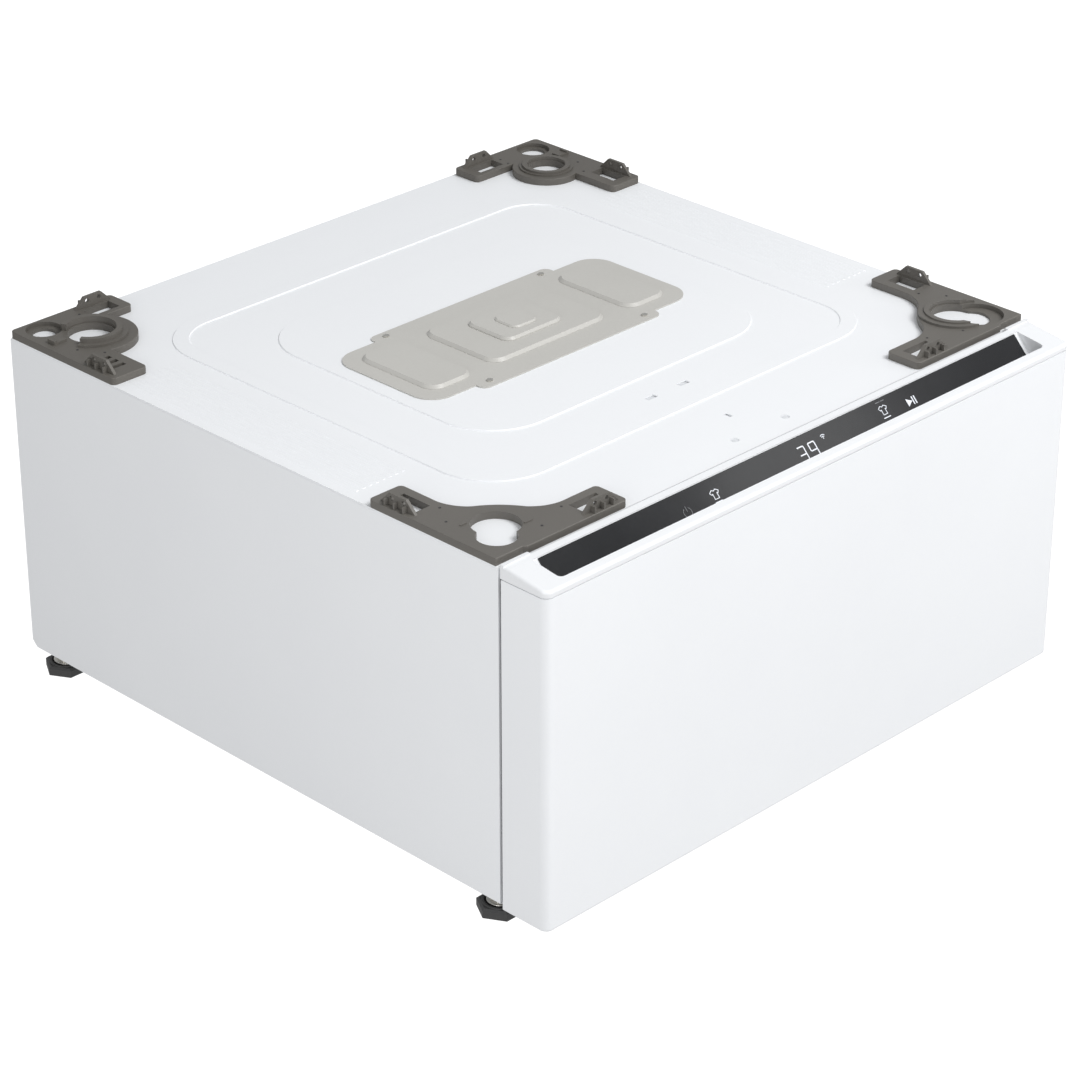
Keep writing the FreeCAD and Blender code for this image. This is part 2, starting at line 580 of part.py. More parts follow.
def deck():
    """Moulded top of the drawer, with a sunken seat for the lid and a round loading mouth."""
    skin = box(-PAN_HALF + 0.5, PAN_HALF - 0.5, 1, PAN_Y1 - 1, DECK_Z - 3, DECK_Z)
    skirt = box(-PAN_HALF + 0.5, PAN_HALF - 0.5, 1, PAN_Y1 - 1, PAN_TOP_Z + 0.1, DECK_Z - 2).cut(
        box(-PAN_HALF + 3.5, PAN_HALF - 3.5, 4, PAN_Y1 - 4, PAN_TOP_Z - 5, DECK_Z))
    seat_x, seat_y0, seat_y1, t = LID_HALF + 2, LID_Y0 - 2, LID_Y1 + 16, 3
    tub = rounded(-seat_x - t, seat_x + t, seat_y0 - t, seat_y1 + t, LID_SEAT_Z - t, DECK_Z, 26)
    well = rounded(-seat_x, seat_x, seat_y0, seat_y1, LID_SEAT_Z, DECK_Z + 5, 24)
    cup = box(CUP_X0 + 2.4, CUP_X1 - 2.4, CUP_Y0 + 2.4, CUP_Y1 - 2.4, 300, 340)
    ears = []
    for x in (-150, 150):
        for d in (-15.5, 12.5):
            ears.append(fuse([box(x + d, x + d + 3, HINGE_Y - 5, HINGE_Y + 5, LID_SEAT_Z - 1, HINGE_Z),
                              bar((1, 0, 0), (x + d, HINGE_Y, HINGE_Z), 3, 5)]))
    pins = [bar((1, 0, 0), (x - 20, HINGE_Y, HINGE_Z), 40, 2.5) for x in (-150, 150)]
    body = fuse([skin, skirt, tub]).cut(well)
    body = cut(body, [cyl(0, TUB_Y, 280, 340, MOUTH_R + 4), cup])
    latch_way = box(-12, 12, LID_Y0 - 22, LID_Y0 - 1, LID_SEAT_Z + 1, LID_SEAT_Z + 6)
    return cut(fuse([body] + ears), pins + [latch_way])


def lid_hinge_pins():
    return Part.makeCompound([bar((1, 0, 0), (x - 15.4, HINGE_Y, HINGE_Z), 30.8, 2.49) for x in (-150, 150)])


CUP_X0, CUP_X1, CUP_Y0, CUP_Y1, CUP_Z = -314.0, -256.0, 150.0, 262.0, 276.0


def dispenser_cup():
    outer = box(CUP_X0 + 2.5, CUP_X1 - 2.5, CUP_Y0 + 2.5, CUP_Y1 - 2.5, CUP_Z, DECK_Z + 0.1)
    rim = box(CUP_X0, CUP_X1, CUP_Y0, CUP_Y1, DECK_Z + 0.1, DECK_Z + 1.6)
    inside = box(CUP_X0 + 5, CUP_X1 - 5, CUP_Y0 + 5, CUP_Y1 - 5, CUP_Z + 2.5, DECK_Z + 5)
    return fuse([outer, rim]).cut(inside)


def dispenser_cover():
    """Sliding cover of the detergent cup, with a ribbed thumb rest."""
    z = DECK_Z + 1.9
    plate = rounded(CUP_X0 - 1, CUP_X1 + 1, CUP_Y0 - 2, CUP_Y1 + 2, z, z + 3, 5)
    ribs = [box(-300, -270, CUP_Y0 + 12 + 5 * n, CUP_Y0 + 14 + 5 * n, z + 2.8, z + 4.2) for n in range(5)]
    return fuse([plate] + ribs)


def lid_frame():
    """Frame of the inner lid, with hinge knuckles, a window opening and a finger recess."""
    z0, z1 = LID_SEAT_Z + 0.4, DECK_Z + 0.6
    body = rounded(-LID_HALF, LID_HALF, LID_Y0, LID_Y1, z0, z1, 22)
    body = softened(body, 1.5, z1)
    opening = rounded(-150, 150, LID_Y0 + 78, LID_Y1 - 50, z0 - 5, z1 + 5, 40)
    rebate = rounded(-158, 158, LID_Y0 + 70, LID_Y1 - 42, z1 - 4.2, z1 + 5, 46)
    under = rounded(-LID_HALF + 5, LID_HALF - 5, LID_Y0 + 5, LID_Y1 - 5, z0 - 5, z0 + 2.4, 18)
    keep = rounded(-166, 166, LID_Y0 + 62, LID_Y1 - 34, z0 - 6, z0 + 6, 52)
    grip = rounded(-55, 55, LID_Y0 + 14, LID_Y0 + 44, z0 + 4.4, z1 + 5, 12)
    knuckles = []
    for x in (-150, 150):
        arm = box(x - 12, x + 12, LID_Y1 - 2, HINGE_Y, HINGE_Z - 2.4, HINGE_Z + 3.4)
        knuckles.append(fuse([arm, bar((1, 0, 0), (x - 12, HINGE_Y, HINGE_Z), 24, 4.6)]))
    body = cut(body, [opening, rebate, under.cut(keep), grip])
    bores = [bar((1, 0, 0), (x - 20, HINGE_Y, HINGE_Z), 40, 2.55) for x in (-150, 150)]
    return cut(fuse([body] + knuckles), bores)


def lid_window():
    z1 = DECK_Z + 0.6
    return rounded(-157.5, 157.5, LID_Y0 + 70.5, LID_Y1 - 42.5, z1 - 4.1, z1 - 0.2, 45.5)


def lid_latch():
    """Latch hook housing in the deck, in front of the lid."""
    return box(-11.5, 11.5, LID_Y0 - 21.5, LID_Y0 - 5.6, LID_SEAT_Z - 9, LID_SEAT_Z - 3.2)


def gasket():
    """Rubber bellows between the deck's mouth and the tub's ring."""
    z0, z1 = TUB_TOP_Z + 7.2, LID_SEAT_Z - 3.2
    r = MOUTH_R + 5
    points = [(r, z0), (r + 8, z0), (r + 8, z0 + 2), (r + 3, z0 + 3.2), (r + 9, z0 + 6), (r + 9, z1), (r, z1),
              (r, z1 - 2), (r + 5, z0 + 6.4), (r - 1, z0 + 3.4)]
    profile = face_of([(x, TUB_Y, z) for x, z in points])
    return profile.revolve(V(0, TUB_Y, 0), V(0, 0, 1), 360)


ROD_X, ROD_DY = 215.0, 205.0
ROD_LOW_Z = 62.0
CUP_LOW_Z = 130.0


def rod_places():
    return [(sx * ROD_X, TUB_Y + sy * ROD_DY) for sx in (-1, 1) for sy in (-1, 1)]


def suspension_rods():
    """Four hanging rods with the stop washers that carry the springs."""
    rods = []
    for x, y in rod_places():
        rods.append(fuse([cyl(x, y, ROD_LOW_Z, LID_SEAT_Z - 3.1, 4), cyl(x, y, ROD_LOW_Z, ROD_LOW_Z + 3, 17),
                          cyl(x, y, LID_SEAT_Z - 9, LID_SEAT_Z - 3.1, 9)]))
    return Part.makeCompound(rods)


def suspension_springs():
    """Compression springs between the stop washers and the tub's cups."""
    springs = []
    wire, coil, turns = 1.5, 12.0, 6
    height = CUP_LOW_Z - ROD_LOW_Z - 3 - 2 * wire - 0.6
    for x, y in rod_places():
        helix = Part.makeHelix(height / turns, height, coil)
        profile = Part.Wire(Part.makeCircle(wire, V(coil, 0, 0), V(0, 1, 0)))
        spring = Part.Wire(helix).makePipeShell([profile], True, True)
        spring.translate(V(x, y, ROD_LOW_Z + 3 + wire + 0.3))
        springs.append(spring)
    return Part.makeCompound(springs)


def spring_cups():
    cups = []
    for x, y in rod_places():
        cups.append(ring(x, y, CUP_LOW_Z, CUP_LOW_Z + 16, 5.0, 17))
    return Part.makeCompound(cups)


def main_board_box():
    body = box(-322, -262, 300, 470, 60, 150)
    ribs = [box(-322, -262, y, y + 2, 149.5, 152) for y in range(310, 465, 15)]
    return fuse([body] + ribs)


PUMP_X, PUMP_Y, PUMP_Z = 290.0, 80.0, 88.0


def pump_body():
    """Drain pump chamber with its two spouts."""
    shell = bar((0, 1, 0), (PUMP_X, PUMP_Y, PUMP_Z), 34, 30)
    chamber = bar((0, 1, 0), (PUMP_X, PUMP_Y + 3, PUMP_Z), 28, 27)
    spouts = [bar((0, 0, 1), (PUMP_X + 16, PUMP_Y + 17, PUMP_Z + 20), 32, 11),
              bar((0, -1, 0), (PUMP_X, PUMP_Y + 2, PUMP_Z), 20, 13)]
    ways = [bar((0, 0, 1), (PUMP_X + 16, PUMP_Y + 17, PUMP_Z), 60, 8.5),
            bar((0, -1, 0), (PUMP_X, PUMP_Y + 6, PUMP_Z), 40, 10)]
    shaft_way = bar((0, 1, 0), (PUMP_X, PUMP_Y + 25, PUMP_Z), 20, 3.1)
    return cut(fuse([shell] + spouts), [chamber, shaft_way] + ways)


def pump_impeller():
    hub = bar((0, 1, 0), (PUMP_X, PUMP_Y + 10, PUMP_Z), 16, 6)
    shaft = bar((0, 1, 0), (PUMP_X, PUMP_Y + 20, PUMP_Z), 26, 3.0)
    blades = [box(PUMP_X - 1.2, PUMP_X + 1.2, PUMP_Y + 11, PUMP_Y + 25, PUMP_Z + 3, PUMP_Z + 22)
              for _ in range(6)]
    for n, blade in enumerate(blades):
        blade.rotate(V(PUMP_X, 0, PUMP_Z), V(0, 1, 0), 60 * n)
    return fuse([hub, shaft] + blades)


def pump_motor():
    core = box(PUMP_X - 28, PUMP_X + 28, PUMP_Y + 34.2, PUMP_Y + 84, PUMP_Z - 26, PUMP_Z + 26)
    core = core.makeFillet(5, [e for e in core.Edges if abs(e.tangentAt(e.FirstParameter).y) > 0.99])
    fins = [box(PUMP_X - 28.5, PUMP_X + 28.5, PUMP_Y + y, PUMP_Y + y + 2, PUMP_Z - 26.5, PUMP_Z + 26.5)
            for y in (44, 52, 60, 68, 76)]
    return fuse([core] + fins).cut(bar((0, 1, 0), (PUMP_X, PUMP_Y + 30, PUMP_Z), 20, 3.1))


# ---- tub ----------------------------------------------------------------------------------
HUB_R = 38.0
SHAFT_BORE_R = 26.0
BEARING_T = 15.0
LOWER_BEARING_Z = 70.0
UPPER_BEARING_Z = 96.0


def outer_tub():
    wall = ring(0, TUB_Y, TUB_LOW_Z, TUB_TOP_Z, TUB_R - 4, TUB_R)
    floor = cyl(0, TUB_Y, TUB_LOW_Z, TUB_LOW_Z + 5, TUB_R)
    hub = cyl(0, TUB_Y, 68, 116, HUB_R)
    ribs = around(box(HUB_R - 2, TUB_R - 3, TUB_Y - 2, TUB_Y + 2, 86.5, TUB_LOW_Z + 1), 12)
    motor_room = cyl(0, TUB_Y, 50, TUB_LOW_Z, 136).cut(cyl(0, TUB_Y, 40, TUB_LOW_Z + 5, HUB_R))
    hoops = [ring(0, TUB_Y, z, z + 3, TUB_R - 2, TUB_R + 5) for z in (TUB_LOW_Z + 90, TUB_TOP_Z - 6)]
    lugs, lug_ways = [], []
    for x, y in rod_places():
        reach = math.degrees(math.atan2(y - TUB_Y, x))
        arm = box(TUB_R - 3, 296, TUB_Y - 13, TUB_Y + 13, CUP_LOW_Z + 16.1, CUP_LOW_Z + 24)
        arm.rotate(V(0, TUB_Y, 0), V(0, 0, 1), reach)
        lugs += [arm, cyl(x, y, CUP_LOW_Z + 16.1, CUP_LOW_Z + 24, 16)]
        lug_ways.append(cyl(x, y, 100, 200, 6))
    sump = cyl(200, TUB_Y - 90, TUB_LOW_Z - 14, TUB_LOW_Z + 1, 17)
    solid = fuse([wall, floor, hub, sump] + [r.cut(motor_room) for r in ribs] + hoops + lugs)
    bores = [cyl(0, TUB_Y, 60, 130, SHAFT_BORE_R - 2),
             cyl(0, TUB_Y, 60, LOWER_BEARING_Z + BEARING_T, SHAFT_BORE_R),
             cyl(0, TUB_Y, UPPER_BEARING_Z, 130, SHAFT_BORE_R), cyl(200, TUB_Y - 90, 60, 130, 13)]
    return cut(solid, bores + lug_ways)


def tub_ring():
    """Cover ring on the tub, with a raised inner lip for the gasket."""
    plate = ring(0, TUB_Y, TUB_TOP_Z + 0.1, TUB_TOP_Z + 4, MOUTH_R, TUB_R + 4)
    lip = ring(0, TUB_Y, TUB_TOP_Z + 0.1, TUB_TOP_Z + 7, MOUTH_R, MOUTH_R + 14)
    clip = box(TUB_R + 1, TUB_R + 5, TUB_Y - 10, TUB_Y + 10, TUB_TOP_Z + 0.1, TUB_TOP_Z + 5)
    clips = around(clip, 12, first=15)
    return fuse([plate, lip] + clips)


def bearings():
    """Two ball bearings drawn as an outer and an inner ring with a row of balls."""
    solids = []
    for z in (LOWER_BEARING_Z, UPPER_BEARING_Z):
        solids += [ring(0, TUB_Y, z, z + BEARING_T, 22.5, SHAFT_BORE_R - 0.02),
                   ring(0, TUB_Y, z, z + BEARING_T, 14.02, 17.5)]
        ball = Part.makeSphere(2.48, V(20, TUB_Y, z + BEARING_T / 2))
        solids += around(ball, 12)
    return Part.makeCompound(solids)


def shaft_seal():
    return ring(0, TUB_Y, UPPER_BEARING_Z + BEARING_T + 0.2, 115.8, 14.3, SHAFT_BORE_R - 0.05)


def stator():
    """Laminated core with wound teeth, fixed round the tub's hub."""
    core = ring(0, TUB_Y, 66, 82, HUB_R + 6, 70)
    teeth = around(box(68, 116, TUB_Y - 4, TUB_Y + 4, 66, 82), 24)
    feet = around(box(HUB_R + 0.05, HUB_R + 8, TUB_Y - 8, TUB_Y + 8, 70, 80), 6)
    return fuse([core] + teeth + feet)


def stator_coils():
    coil = box(78, 108, TUB_Y - 6, TUB_Y + 6, 63.5, 84.5)
    coil = coil.cut(box(70, 120, TUB_Y - 4.05, TUB_Y + 4.05, 65.9, 82.1))
    return Part.makeCompound(around(coil, 24))


# ---- drum ---------------------------------------------------------------------------------
def drum_wall():
    wall = ring(0, TUB_Y, DRUM_LOW_Z + 4, DRUM_TOP_Z - 2, DRUM_R - 1.5, DRUM_R)
    roll = ring(0, TUB_Y, DRUM_LOW_Z + 62, DRUM_LOW_Z + 66, DRUM_R - 0.5, DRUM_R + 2)
    return fuse([wall, roll])


def drum_base():
    dish = cyl(0, TUB_Y, DRUM_LOW_Z, DRUM_LOW_Z + 4, DRUM_R + 1)
    hub = cyl(0, TUB_Y, 117, DRUM_LOW_Z + 9, 34)
    spokes = around(box(30, DRUM_R - 4, TUB_Y - 9, TUB_Y + 9, DRUM_LOW_Z + 3, DRUM_LOW_Z + 7), 6)
    drains = []
    for radius, count in ((120, 12), (165, 18), (200, 24)):
        drains += around(cyl(radius, TUB_Y, 100, 140, 3.5), count, first=7.5)
    return cut(fuse([dish, hub] + spokes), drains + [cyl(0, TUB_Y, 110, 140, 14.02)])


def balance_ring():
    body = ring(0, TUB_Y, DRUM_TOP_Z - 20, DRUM_TOP_Z - 1, 192, DRUM_R - 1.55)
    lip = ring(0, TUB_Y, DRUM_TOP_Z - 1.95, DRUM_TOP_Z + 2, 192, DRUM_R + 2)
    return softened(fuse([body, lip]), 1.5, DRUM_TOP_Z + 2)


def spin_shaft():
    """Hollow shaft that carries the drum in the tub's bearings."""
    return ring(0, TUB_Y, 64, DRUM_LOW_Z + 8.9, 9.0, 14.0)


# ---- wash drive ---------------------------------------------------------------------------
def pulsator():
    """Low wash plate with six curved vanes and a domed cap."""
    z = DRUM_LOW_Z + 9.6
    plate = cyl(0, TUB_Y, z, z + 5, 152)
    plate = plate.makeFillet(2.2, edges_at_z(plate, z + 5))
    dome = Part.makeCone(58, 24, 22, V(0, TUB_Y, z + 4), V(0, 0, 1))
    vane = fuse([box(45, 138, TUB_Y - 5, TUB_Y + 5, z + 4, z + 13), cyl(138, TUB_Y, z + 4, z + 13, 5)])
    vane = vane.makeFillet(2.5, edges_at_z(vane, z + 13))
    holes = []
    for radius, count in ((75, 12), (105, 18), (132, 24)):
        holes += around(cyl(radius, TUB_Y, z - 2, z + 8, 2.4), count, first=15)
    return cut(fuse([plate, dome] + around(vane, 6)), holes + [cyl(0, TUB_Y, z - 3, z + 16, 7.0)])


def wash_shaft():
    """Inner shaft, from the hexagonal head under the rotor to the pulsator."""
    return fuse([cyl(0, TUB_Y, 54, DRUM_LOW_Z + 20, 6.98), hexagon(0, TUB_Y, 50, 57.9, 17)])


def rotor_bell():
    """Outer rotor: dished steel bell with cooling slots, bolted to the wash shaft."""
    disc = ring(0, TUB_Y, 58, 61, 7.0, 130)
    rim = ring(0, TUB_Y, 58, 86, 126.5, 130)
    slots = around(box(50, 108, TUB_Y - 4, TUB_Y + 4, 50, 65), 12)
    return cut(fuse([disc, rim]), slots)


def rotor_magnets():
    piece = ring(0, TUB_Y, 64, 84, 118.5, 126.45)
    wedge = face_of([(0, TUB_Y, 60), (140, TUB_Y - 34, 60), (140, TUB_Y + 34, 60)]).extrude(V(0, 0, 30))
    return Part.makeCompound(around(piece.common(wedge), 12))


# ---- write the parts ----------------------------------------------------------------------
def main():
    os.makedirs("parts", exist_ok=True)
    for old in os.listdir("parts"):
        os.remove(os.path.join("parts", old))
    left = left_side_panel()
    export("left_side_panel", left)
    export("right_side_panel", mirror_x(left))
    export("top_panel", top_panel())
    export("access_cover", access_cover())
    export("cover_screws", cover_screws())
    export("rear_panel", rear_panel())
    export("base_pan", base_pan())
    export("foot_lock_nuts", lock_nuts())
    for name, x, y in (("front_left", -FOOT_X, FOOT_FRONT_Y), ("front_right", FOOT_X, FOOT_FRONT_Y),
                       ("rear_left", -FOOT_X, FOOT_REAR_Y), ("rear_right", FOOT_X, FOOT_REAR_Y)):
        export(f"foot_{name}", foot(x, y))
    left_rear = rear_bracket(WELL_R, 50.0, 57.0, 11.0, (150, 235), True)
    export("bracket_rear_left", placed(left_rear, -1, True))
    right_rear = rear_bracket(RIGHT_WELL_R, 49.0, 64.0, 12.5, None, False)
    export("bracket_rear_right", placed(right_rear, 1, True))
    export("bracket_front_left", placed(front_bracket(False), -1, False))
    export("bracket_front_right", placed(front_bracket(True), 1, False))
    export("inlet_valve", inlet_valve())
    export("drain_spigot", drain_spigot())
    export("power_gland", power_gland())
    rails = (("outer", slide_outer_left()), ("mid", slide_mid_left()), ("inner", slide_inner_left()))
    for stage, rail in rails:
        export(f"slide_{stage}_left", rail)
        export(f"slide_{stage}_right", mirror_x(rail))
    for name, make in (
        ("drawer_pan", drawer_pan), ("front_panel", front_panel), ("front_liner", front_liner),
        ("control_cap", control_cap), ("control_glass", control_glass), ("display_board", display_board),
        ("deck", deck), ("lid_hinge_pins", lid_hinge_pins), ("lid_latch", lid_latch),
        ("dispenser_cup", dispenser_cup), ("dispenser_cover", dispenser_cover),
        ("lid_frame", lid_frame), ("lid_window", lid_window), ("gasket", gasket),
        ("suspension_rods", suspension_rods), ("suspension_springs", suspension_springs),
        ("spring_cups", spring_cups), ("main_board_box", main_board_box),
        ("pump_body", pump_body), ("pump_impeller", pump_impeller), ("pump_motor", pump_motor),
        ("outer_tub", outer_tub), ("tub_ring", tub_ring), ("bearings", bearings), ("shaft_seal", shaft_seal),
        ("stator", stator), ("stator_coils", stator_coils),
        ("drum_wall", drum_wall), ("drum_base", drum_base), ("balance_ring", balance_ring),
        ("spin_shaft", spin_shaft), ("pulsator", pulsator), ("wash_shaft", wash_shaft),
        ("rotor_bell", rotor_bell), ("rotor_magnets", rotor_magnets),
    ):
        export(name, make())


main()
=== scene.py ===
import bpy
import math
from mathutils import Matrix, Vector


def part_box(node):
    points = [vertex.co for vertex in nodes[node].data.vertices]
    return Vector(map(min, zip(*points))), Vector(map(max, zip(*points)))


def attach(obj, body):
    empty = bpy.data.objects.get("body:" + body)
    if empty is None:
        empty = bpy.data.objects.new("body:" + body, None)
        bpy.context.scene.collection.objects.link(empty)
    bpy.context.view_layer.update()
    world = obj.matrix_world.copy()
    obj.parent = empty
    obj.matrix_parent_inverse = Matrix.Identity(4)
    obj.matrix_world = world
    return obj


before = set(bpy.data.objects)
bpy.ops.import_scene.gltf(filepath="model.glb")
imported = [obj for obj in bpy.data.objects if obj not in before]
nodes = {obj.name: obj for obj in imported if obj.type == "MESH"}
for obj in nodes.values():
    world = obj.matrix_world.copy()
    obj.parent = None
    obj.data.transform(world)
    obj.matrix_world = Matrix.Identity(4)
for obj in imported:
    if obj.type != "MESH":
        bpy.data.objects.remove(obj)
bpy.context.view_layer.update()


def deselectAll():
    bpy.ops.object.select_all(action="DESELECT")


def pickOnly(piece):
    deselectAll()
    piece.select_set(True)
    bpy.context.view_layer.objects.active = piece


def applyPlace(piece):
    pickOnly(piece)
    bpy.ops.object.transform_apply(location=True, rotation=True, scale=True)
    return piece


def selectFaces(piece, wanted):
    # leaves edit mode on, with only the faces that pass the test selected
    pickOnly(piece)
    bpy.ops.object.mode_set(mode="EDIT")
    bpy.ops.mesh.select_mode(type="FACE")
    bpy.ops.mesh.select_all(action="DESELECT")
    bpy.ops.object.mode_set(mode="OBJECT")
    for face in piece.data.polygons:
        face.select = bool(wanted(face.center, face.normal))
    bpy.ops.object.mode_set(mode="EDIT")


def selectEdges(piece, wanted):
    pickOnly(piece)
    bpy.ops.object.mode_set(mode="EDIT")
    bpy.ops.mesh.select_mode(type="EDGE")
    bpy.ops.mesh.select_all(action="DESELECT")
    bpy.ops.object.mode_set(mode="OBJECT")
    verts = piece.data.vertices
    for edge in piece.data.edges:
        a, b = (verts[i].co for i in edge.vertices)
        edge.select = bool(wanted(a, b))
    bpy.ops.object.mode_set(mode="EDIT")


def leaveEdit():
    bpy.ops.object.mode_set(mode="OBJECT")


def addBlock(name, low, high):
    deselectAll()
    low, high = Vector(low), Vector(high)
    bpy.ops.mesh.primitive_cube_add(size=1, location=(low + high) / 2)
    block = bpy.context.object
    block.name = name
    block.scale = high - low
    return applyPlace(block)


def addRod(name, start, end, radius, sides=32):
    deselectAll()
    start, end = Vector(start), Vector(end)
    line = end - start
    bpy.ops.mesh.primitive_cylinder_add(vertices=sides, radius=radius, depth=line.length,
                                        location=(start + end) / 2)
    rod = bpy.context.object
    rod.name = name
    rod.rotation_mode = "QUATERNION"
    rod.rotation_quaternion = line.to_track_quat("Z", "Y")
    return applyPlace(rod)


def addWasher(name, centre, axis, inner, outer, thick, soft, sides=40):
    # a flat ring: both faces inset, the middle bridged through, every rim rounded
    deselectAll()
    bpy.ops.mesh.primitive_cylinder_add(vertices=sides, radius=outer, depth=thick)
    washer = bpy.context.object
    washer.name = name
    selectFaces(washer, lambda c, n: abs(n.z) > 0.9)
    bpy.ops.mesh.inset(thickness=outer - inner)
    bpy.ops.mesh.bridge_edge_loops()
    leaveEdit()
    roundEdges(washer, soft, 3, 50)
    turn = Vector(axis).to_track_quat("Z", "Y").to_matrix().to_4x4()
    washer.data.transform(Matrix.Translation(centre) @ turn)
    return washer


def roundEdges(piece, width, steps=2, limit=30):
    pickOnly(piece)
    bevel = piece.modifiers.new("roundEdges", "BEVEL")
    bevel.width, bevel.segments = width, steps
    bevel.limit_method, bevel.angle_limit = "ANGLE", math.radians(limit)
    bpy.ops.object.modifier_apply(modifier=bevel.name)
    bpy.ops.object.shade_smooth_by_angle(angle=math.radians(40))
    return piece


def copyTo(piece, name, matrix):
    made = piece.copy()
    made.data = piece.data.copy()
    made.name = name
    bpy.context.scene.collection.objects.link(made)
    made.data.transform(matrix)
    return made


def joinAll(pieces, name):
    deselectAll()
    for piece in pieces:
        piece.select_set(True)
    bpy.context.view_layer.objects.active = pieces[0]
    bpy.ops.object.join()
    joined = bpy.context.object
    joined.name = name
    return joined


def dress(piece, finish, body):
    piece.data.materials.clear()
    piece.data.materials.append(finishes[finish])
    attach(piece, body)
    return piece


def boxOf(node):
    low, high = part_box(node)
    return Vector(low), Vector(high)


def newGroup(name, inputs):
    group = bpy.data.node_groups.new(name, "ShaderNodeTree")
    group.interface.new_socket("Vector", in_out="INPUT", socket_type="NodeSocketVector")
    for label, value in inputs.items():
        socket = group.interface.new_socket(label, in_out="INPUT", socket_type="NodeSocketFloat")
        socket.default_value = value
    group.interface.new_socket("Value", in_out="OUTPUT", socket_type="NodeSocketFloat")
    entry, leave = group.nodes.new("NodeGroupInput"), group.nodes.new("NodeGroupOutput")
    return group, entry, leave


def mathNode(tree, operation, first, second=0.0):
    node = tree.nodes.new("ShaderNodeMath")
    node.operation = operation
    for socket, value in zip(node.inputs, (first, second)):
        if isinstance(value, (int, float)):
            socket.default_value = value
        else:
            tree.links.new(value, socket)
    return node.outputs[0]


def noiseNode(tree, vector, scale, detail, rough=0.5):
    node = tree.nodes.new("ShaderNodeTexNoise")
    tree.links.new(vector, node.inputs["Vector"])
    if isinstance(scale, (int, float)):
        node.inputs["Scale"].default_value = scale
    else:
        tree.links.new(scale, node.inputs["Scale"])
    node.inputs["Detail"].default_value = detail
    node.inputs["Roughness"].default_value = rough
    return node.outputs["Fac"]


def makePeelGroup():
    # the long, soft ripple of sprayed paint with a finer one on top
    group, entry, leave = newGroup("sprayedPeel", {"Scale": 420.0})
    wide = noiseNode(group, entry.outputs["Vector"], entry.outputs["Scale"], 1.0)
    fineScale = mathNode(group, "MULTIPLY", entry.outputs["Scale"], 3.3)
    fine = noiseNode(group, entry.outputs["Vector"], fineScale, 2.0)
    total = mathNode(group, "ADD", wide, mathNode(group, "MULTIPLY", fine, 0.35))
    group.links.new(total, leave.inputs["Value"])
    return group


def makeMouldGroup():
    # spark-eroded tool texture of moulded plastic: small rounded pits
    group, entry, leave = newGroup("mouldGrain", {"Scale": 1400.0})
    pits = group.nodes.new("ShaderNodeTexVoronoi")
    pits.feature = "SMOOTH_F1"
    group.links.new(entry.outputs["Vector"], pits.inputs["Vector"])
    group.links.new(entry.outputs["Scale"], pits.inputs["Scale"])
    speck = noiseNode(group, entry.outputs["Vector"], entry.outputs["Scale"], 2.0, 0.6)
    total = mathNode(group, "ADD", pits.outputs["Distance"], mathNode(group, "MULTIPLY", speck, 0.6))
    group.links.new(total, leave.inputs["Value"])
    return group


def makePatchGroup():
    # slow variation over a hand's width, and a little dust-fine speckle
    group, entry, leave = newGroup("slowPatches", {"Scale": 7.0})
    slow = noiseNode(group, entry.outputs["Vector"], entry.outputs["Scale"], 4.0, 0.55)
    quickScale = mathNode(group, "MULTIPLY", entry.outputs["Scale"], 40.0)
    speck = noiseNode(group, entry.outputs["Vector"], quickScale, 2.0, 0.6)
    wide, fine = mathNode(group, "MULTIPLY", slow, 0.75), mathNode(group, "MULTIPLY", speck, 0.25)
    both = mathNode(group, "ADD", wide, fine)
    spread = group.nodes.new("ShaderNodeMapRange")
    spread.inputs["From Min"].default_value, spread.inputs["From Max"].default_value = 0.32, 0.68
    group.links.new(both, spread.inputs["Value"])
    group.links.new(spread.outputs["Result"], leave.inputs["Value"])
    return group


def makeBrushGroup():
    # fine lines of rolled or brushed metal, long along the local X
    group, entry, leave = newGroup("rolledLines", {"Scale": 60.0})
    stretch = group.nodes.new("ShaderNodeMapping")
    stretch.inputs["Scale"].default_value = (0.04, 1.0, 1.0)
    group.links.new(entry.outputs["Vector"], stretch.inputs["Vector"])
    scale = mathNode(group, "MULTIPLY", entry.outputs["Scale"], 16.0)
    group.links.new(noiseNode(group, stretch.outputs["Vector"], scale, 4.0, 0.7), leave.inputs["Value"])
    return group


def makeSpangleGroup():
    # crystal flowers of hot-dip zinc
    group, entry, leave = newGroup("zincSpangle", {"Scale": 90.0})
    warp = noiseNode(group, entry.outputs["Vector"], 60.0, 2.0)
    shift = group.nodes.new("ShaderNodeVectorMath")
    shift.operation = "MULTIPLY_ADD"
    shift.inputs[1].default_value = (0.012, 0.012, 0.012)
    group.links.new(warp, shift.inputs[0])
    group.links.new(entry.outputs["Vector"], shift.inputs[2])
    cells = group.nodes.new("ShaderNodeTexVoronoi")
    group.links.new(shift.outputs["Vector"], cells.inputs["Vector"])
    group.links.new(entry.outputs["Scale"], cells.inputs["Scale"])
    tone = group.nodes.new("ShaderNodeSeparateColor")
    group.links.new(cells.outputs["Color"], tone.inputs["Color"])
    group.links.new(tone.outputs["Red"], leave.inputs["Value"])
    return group


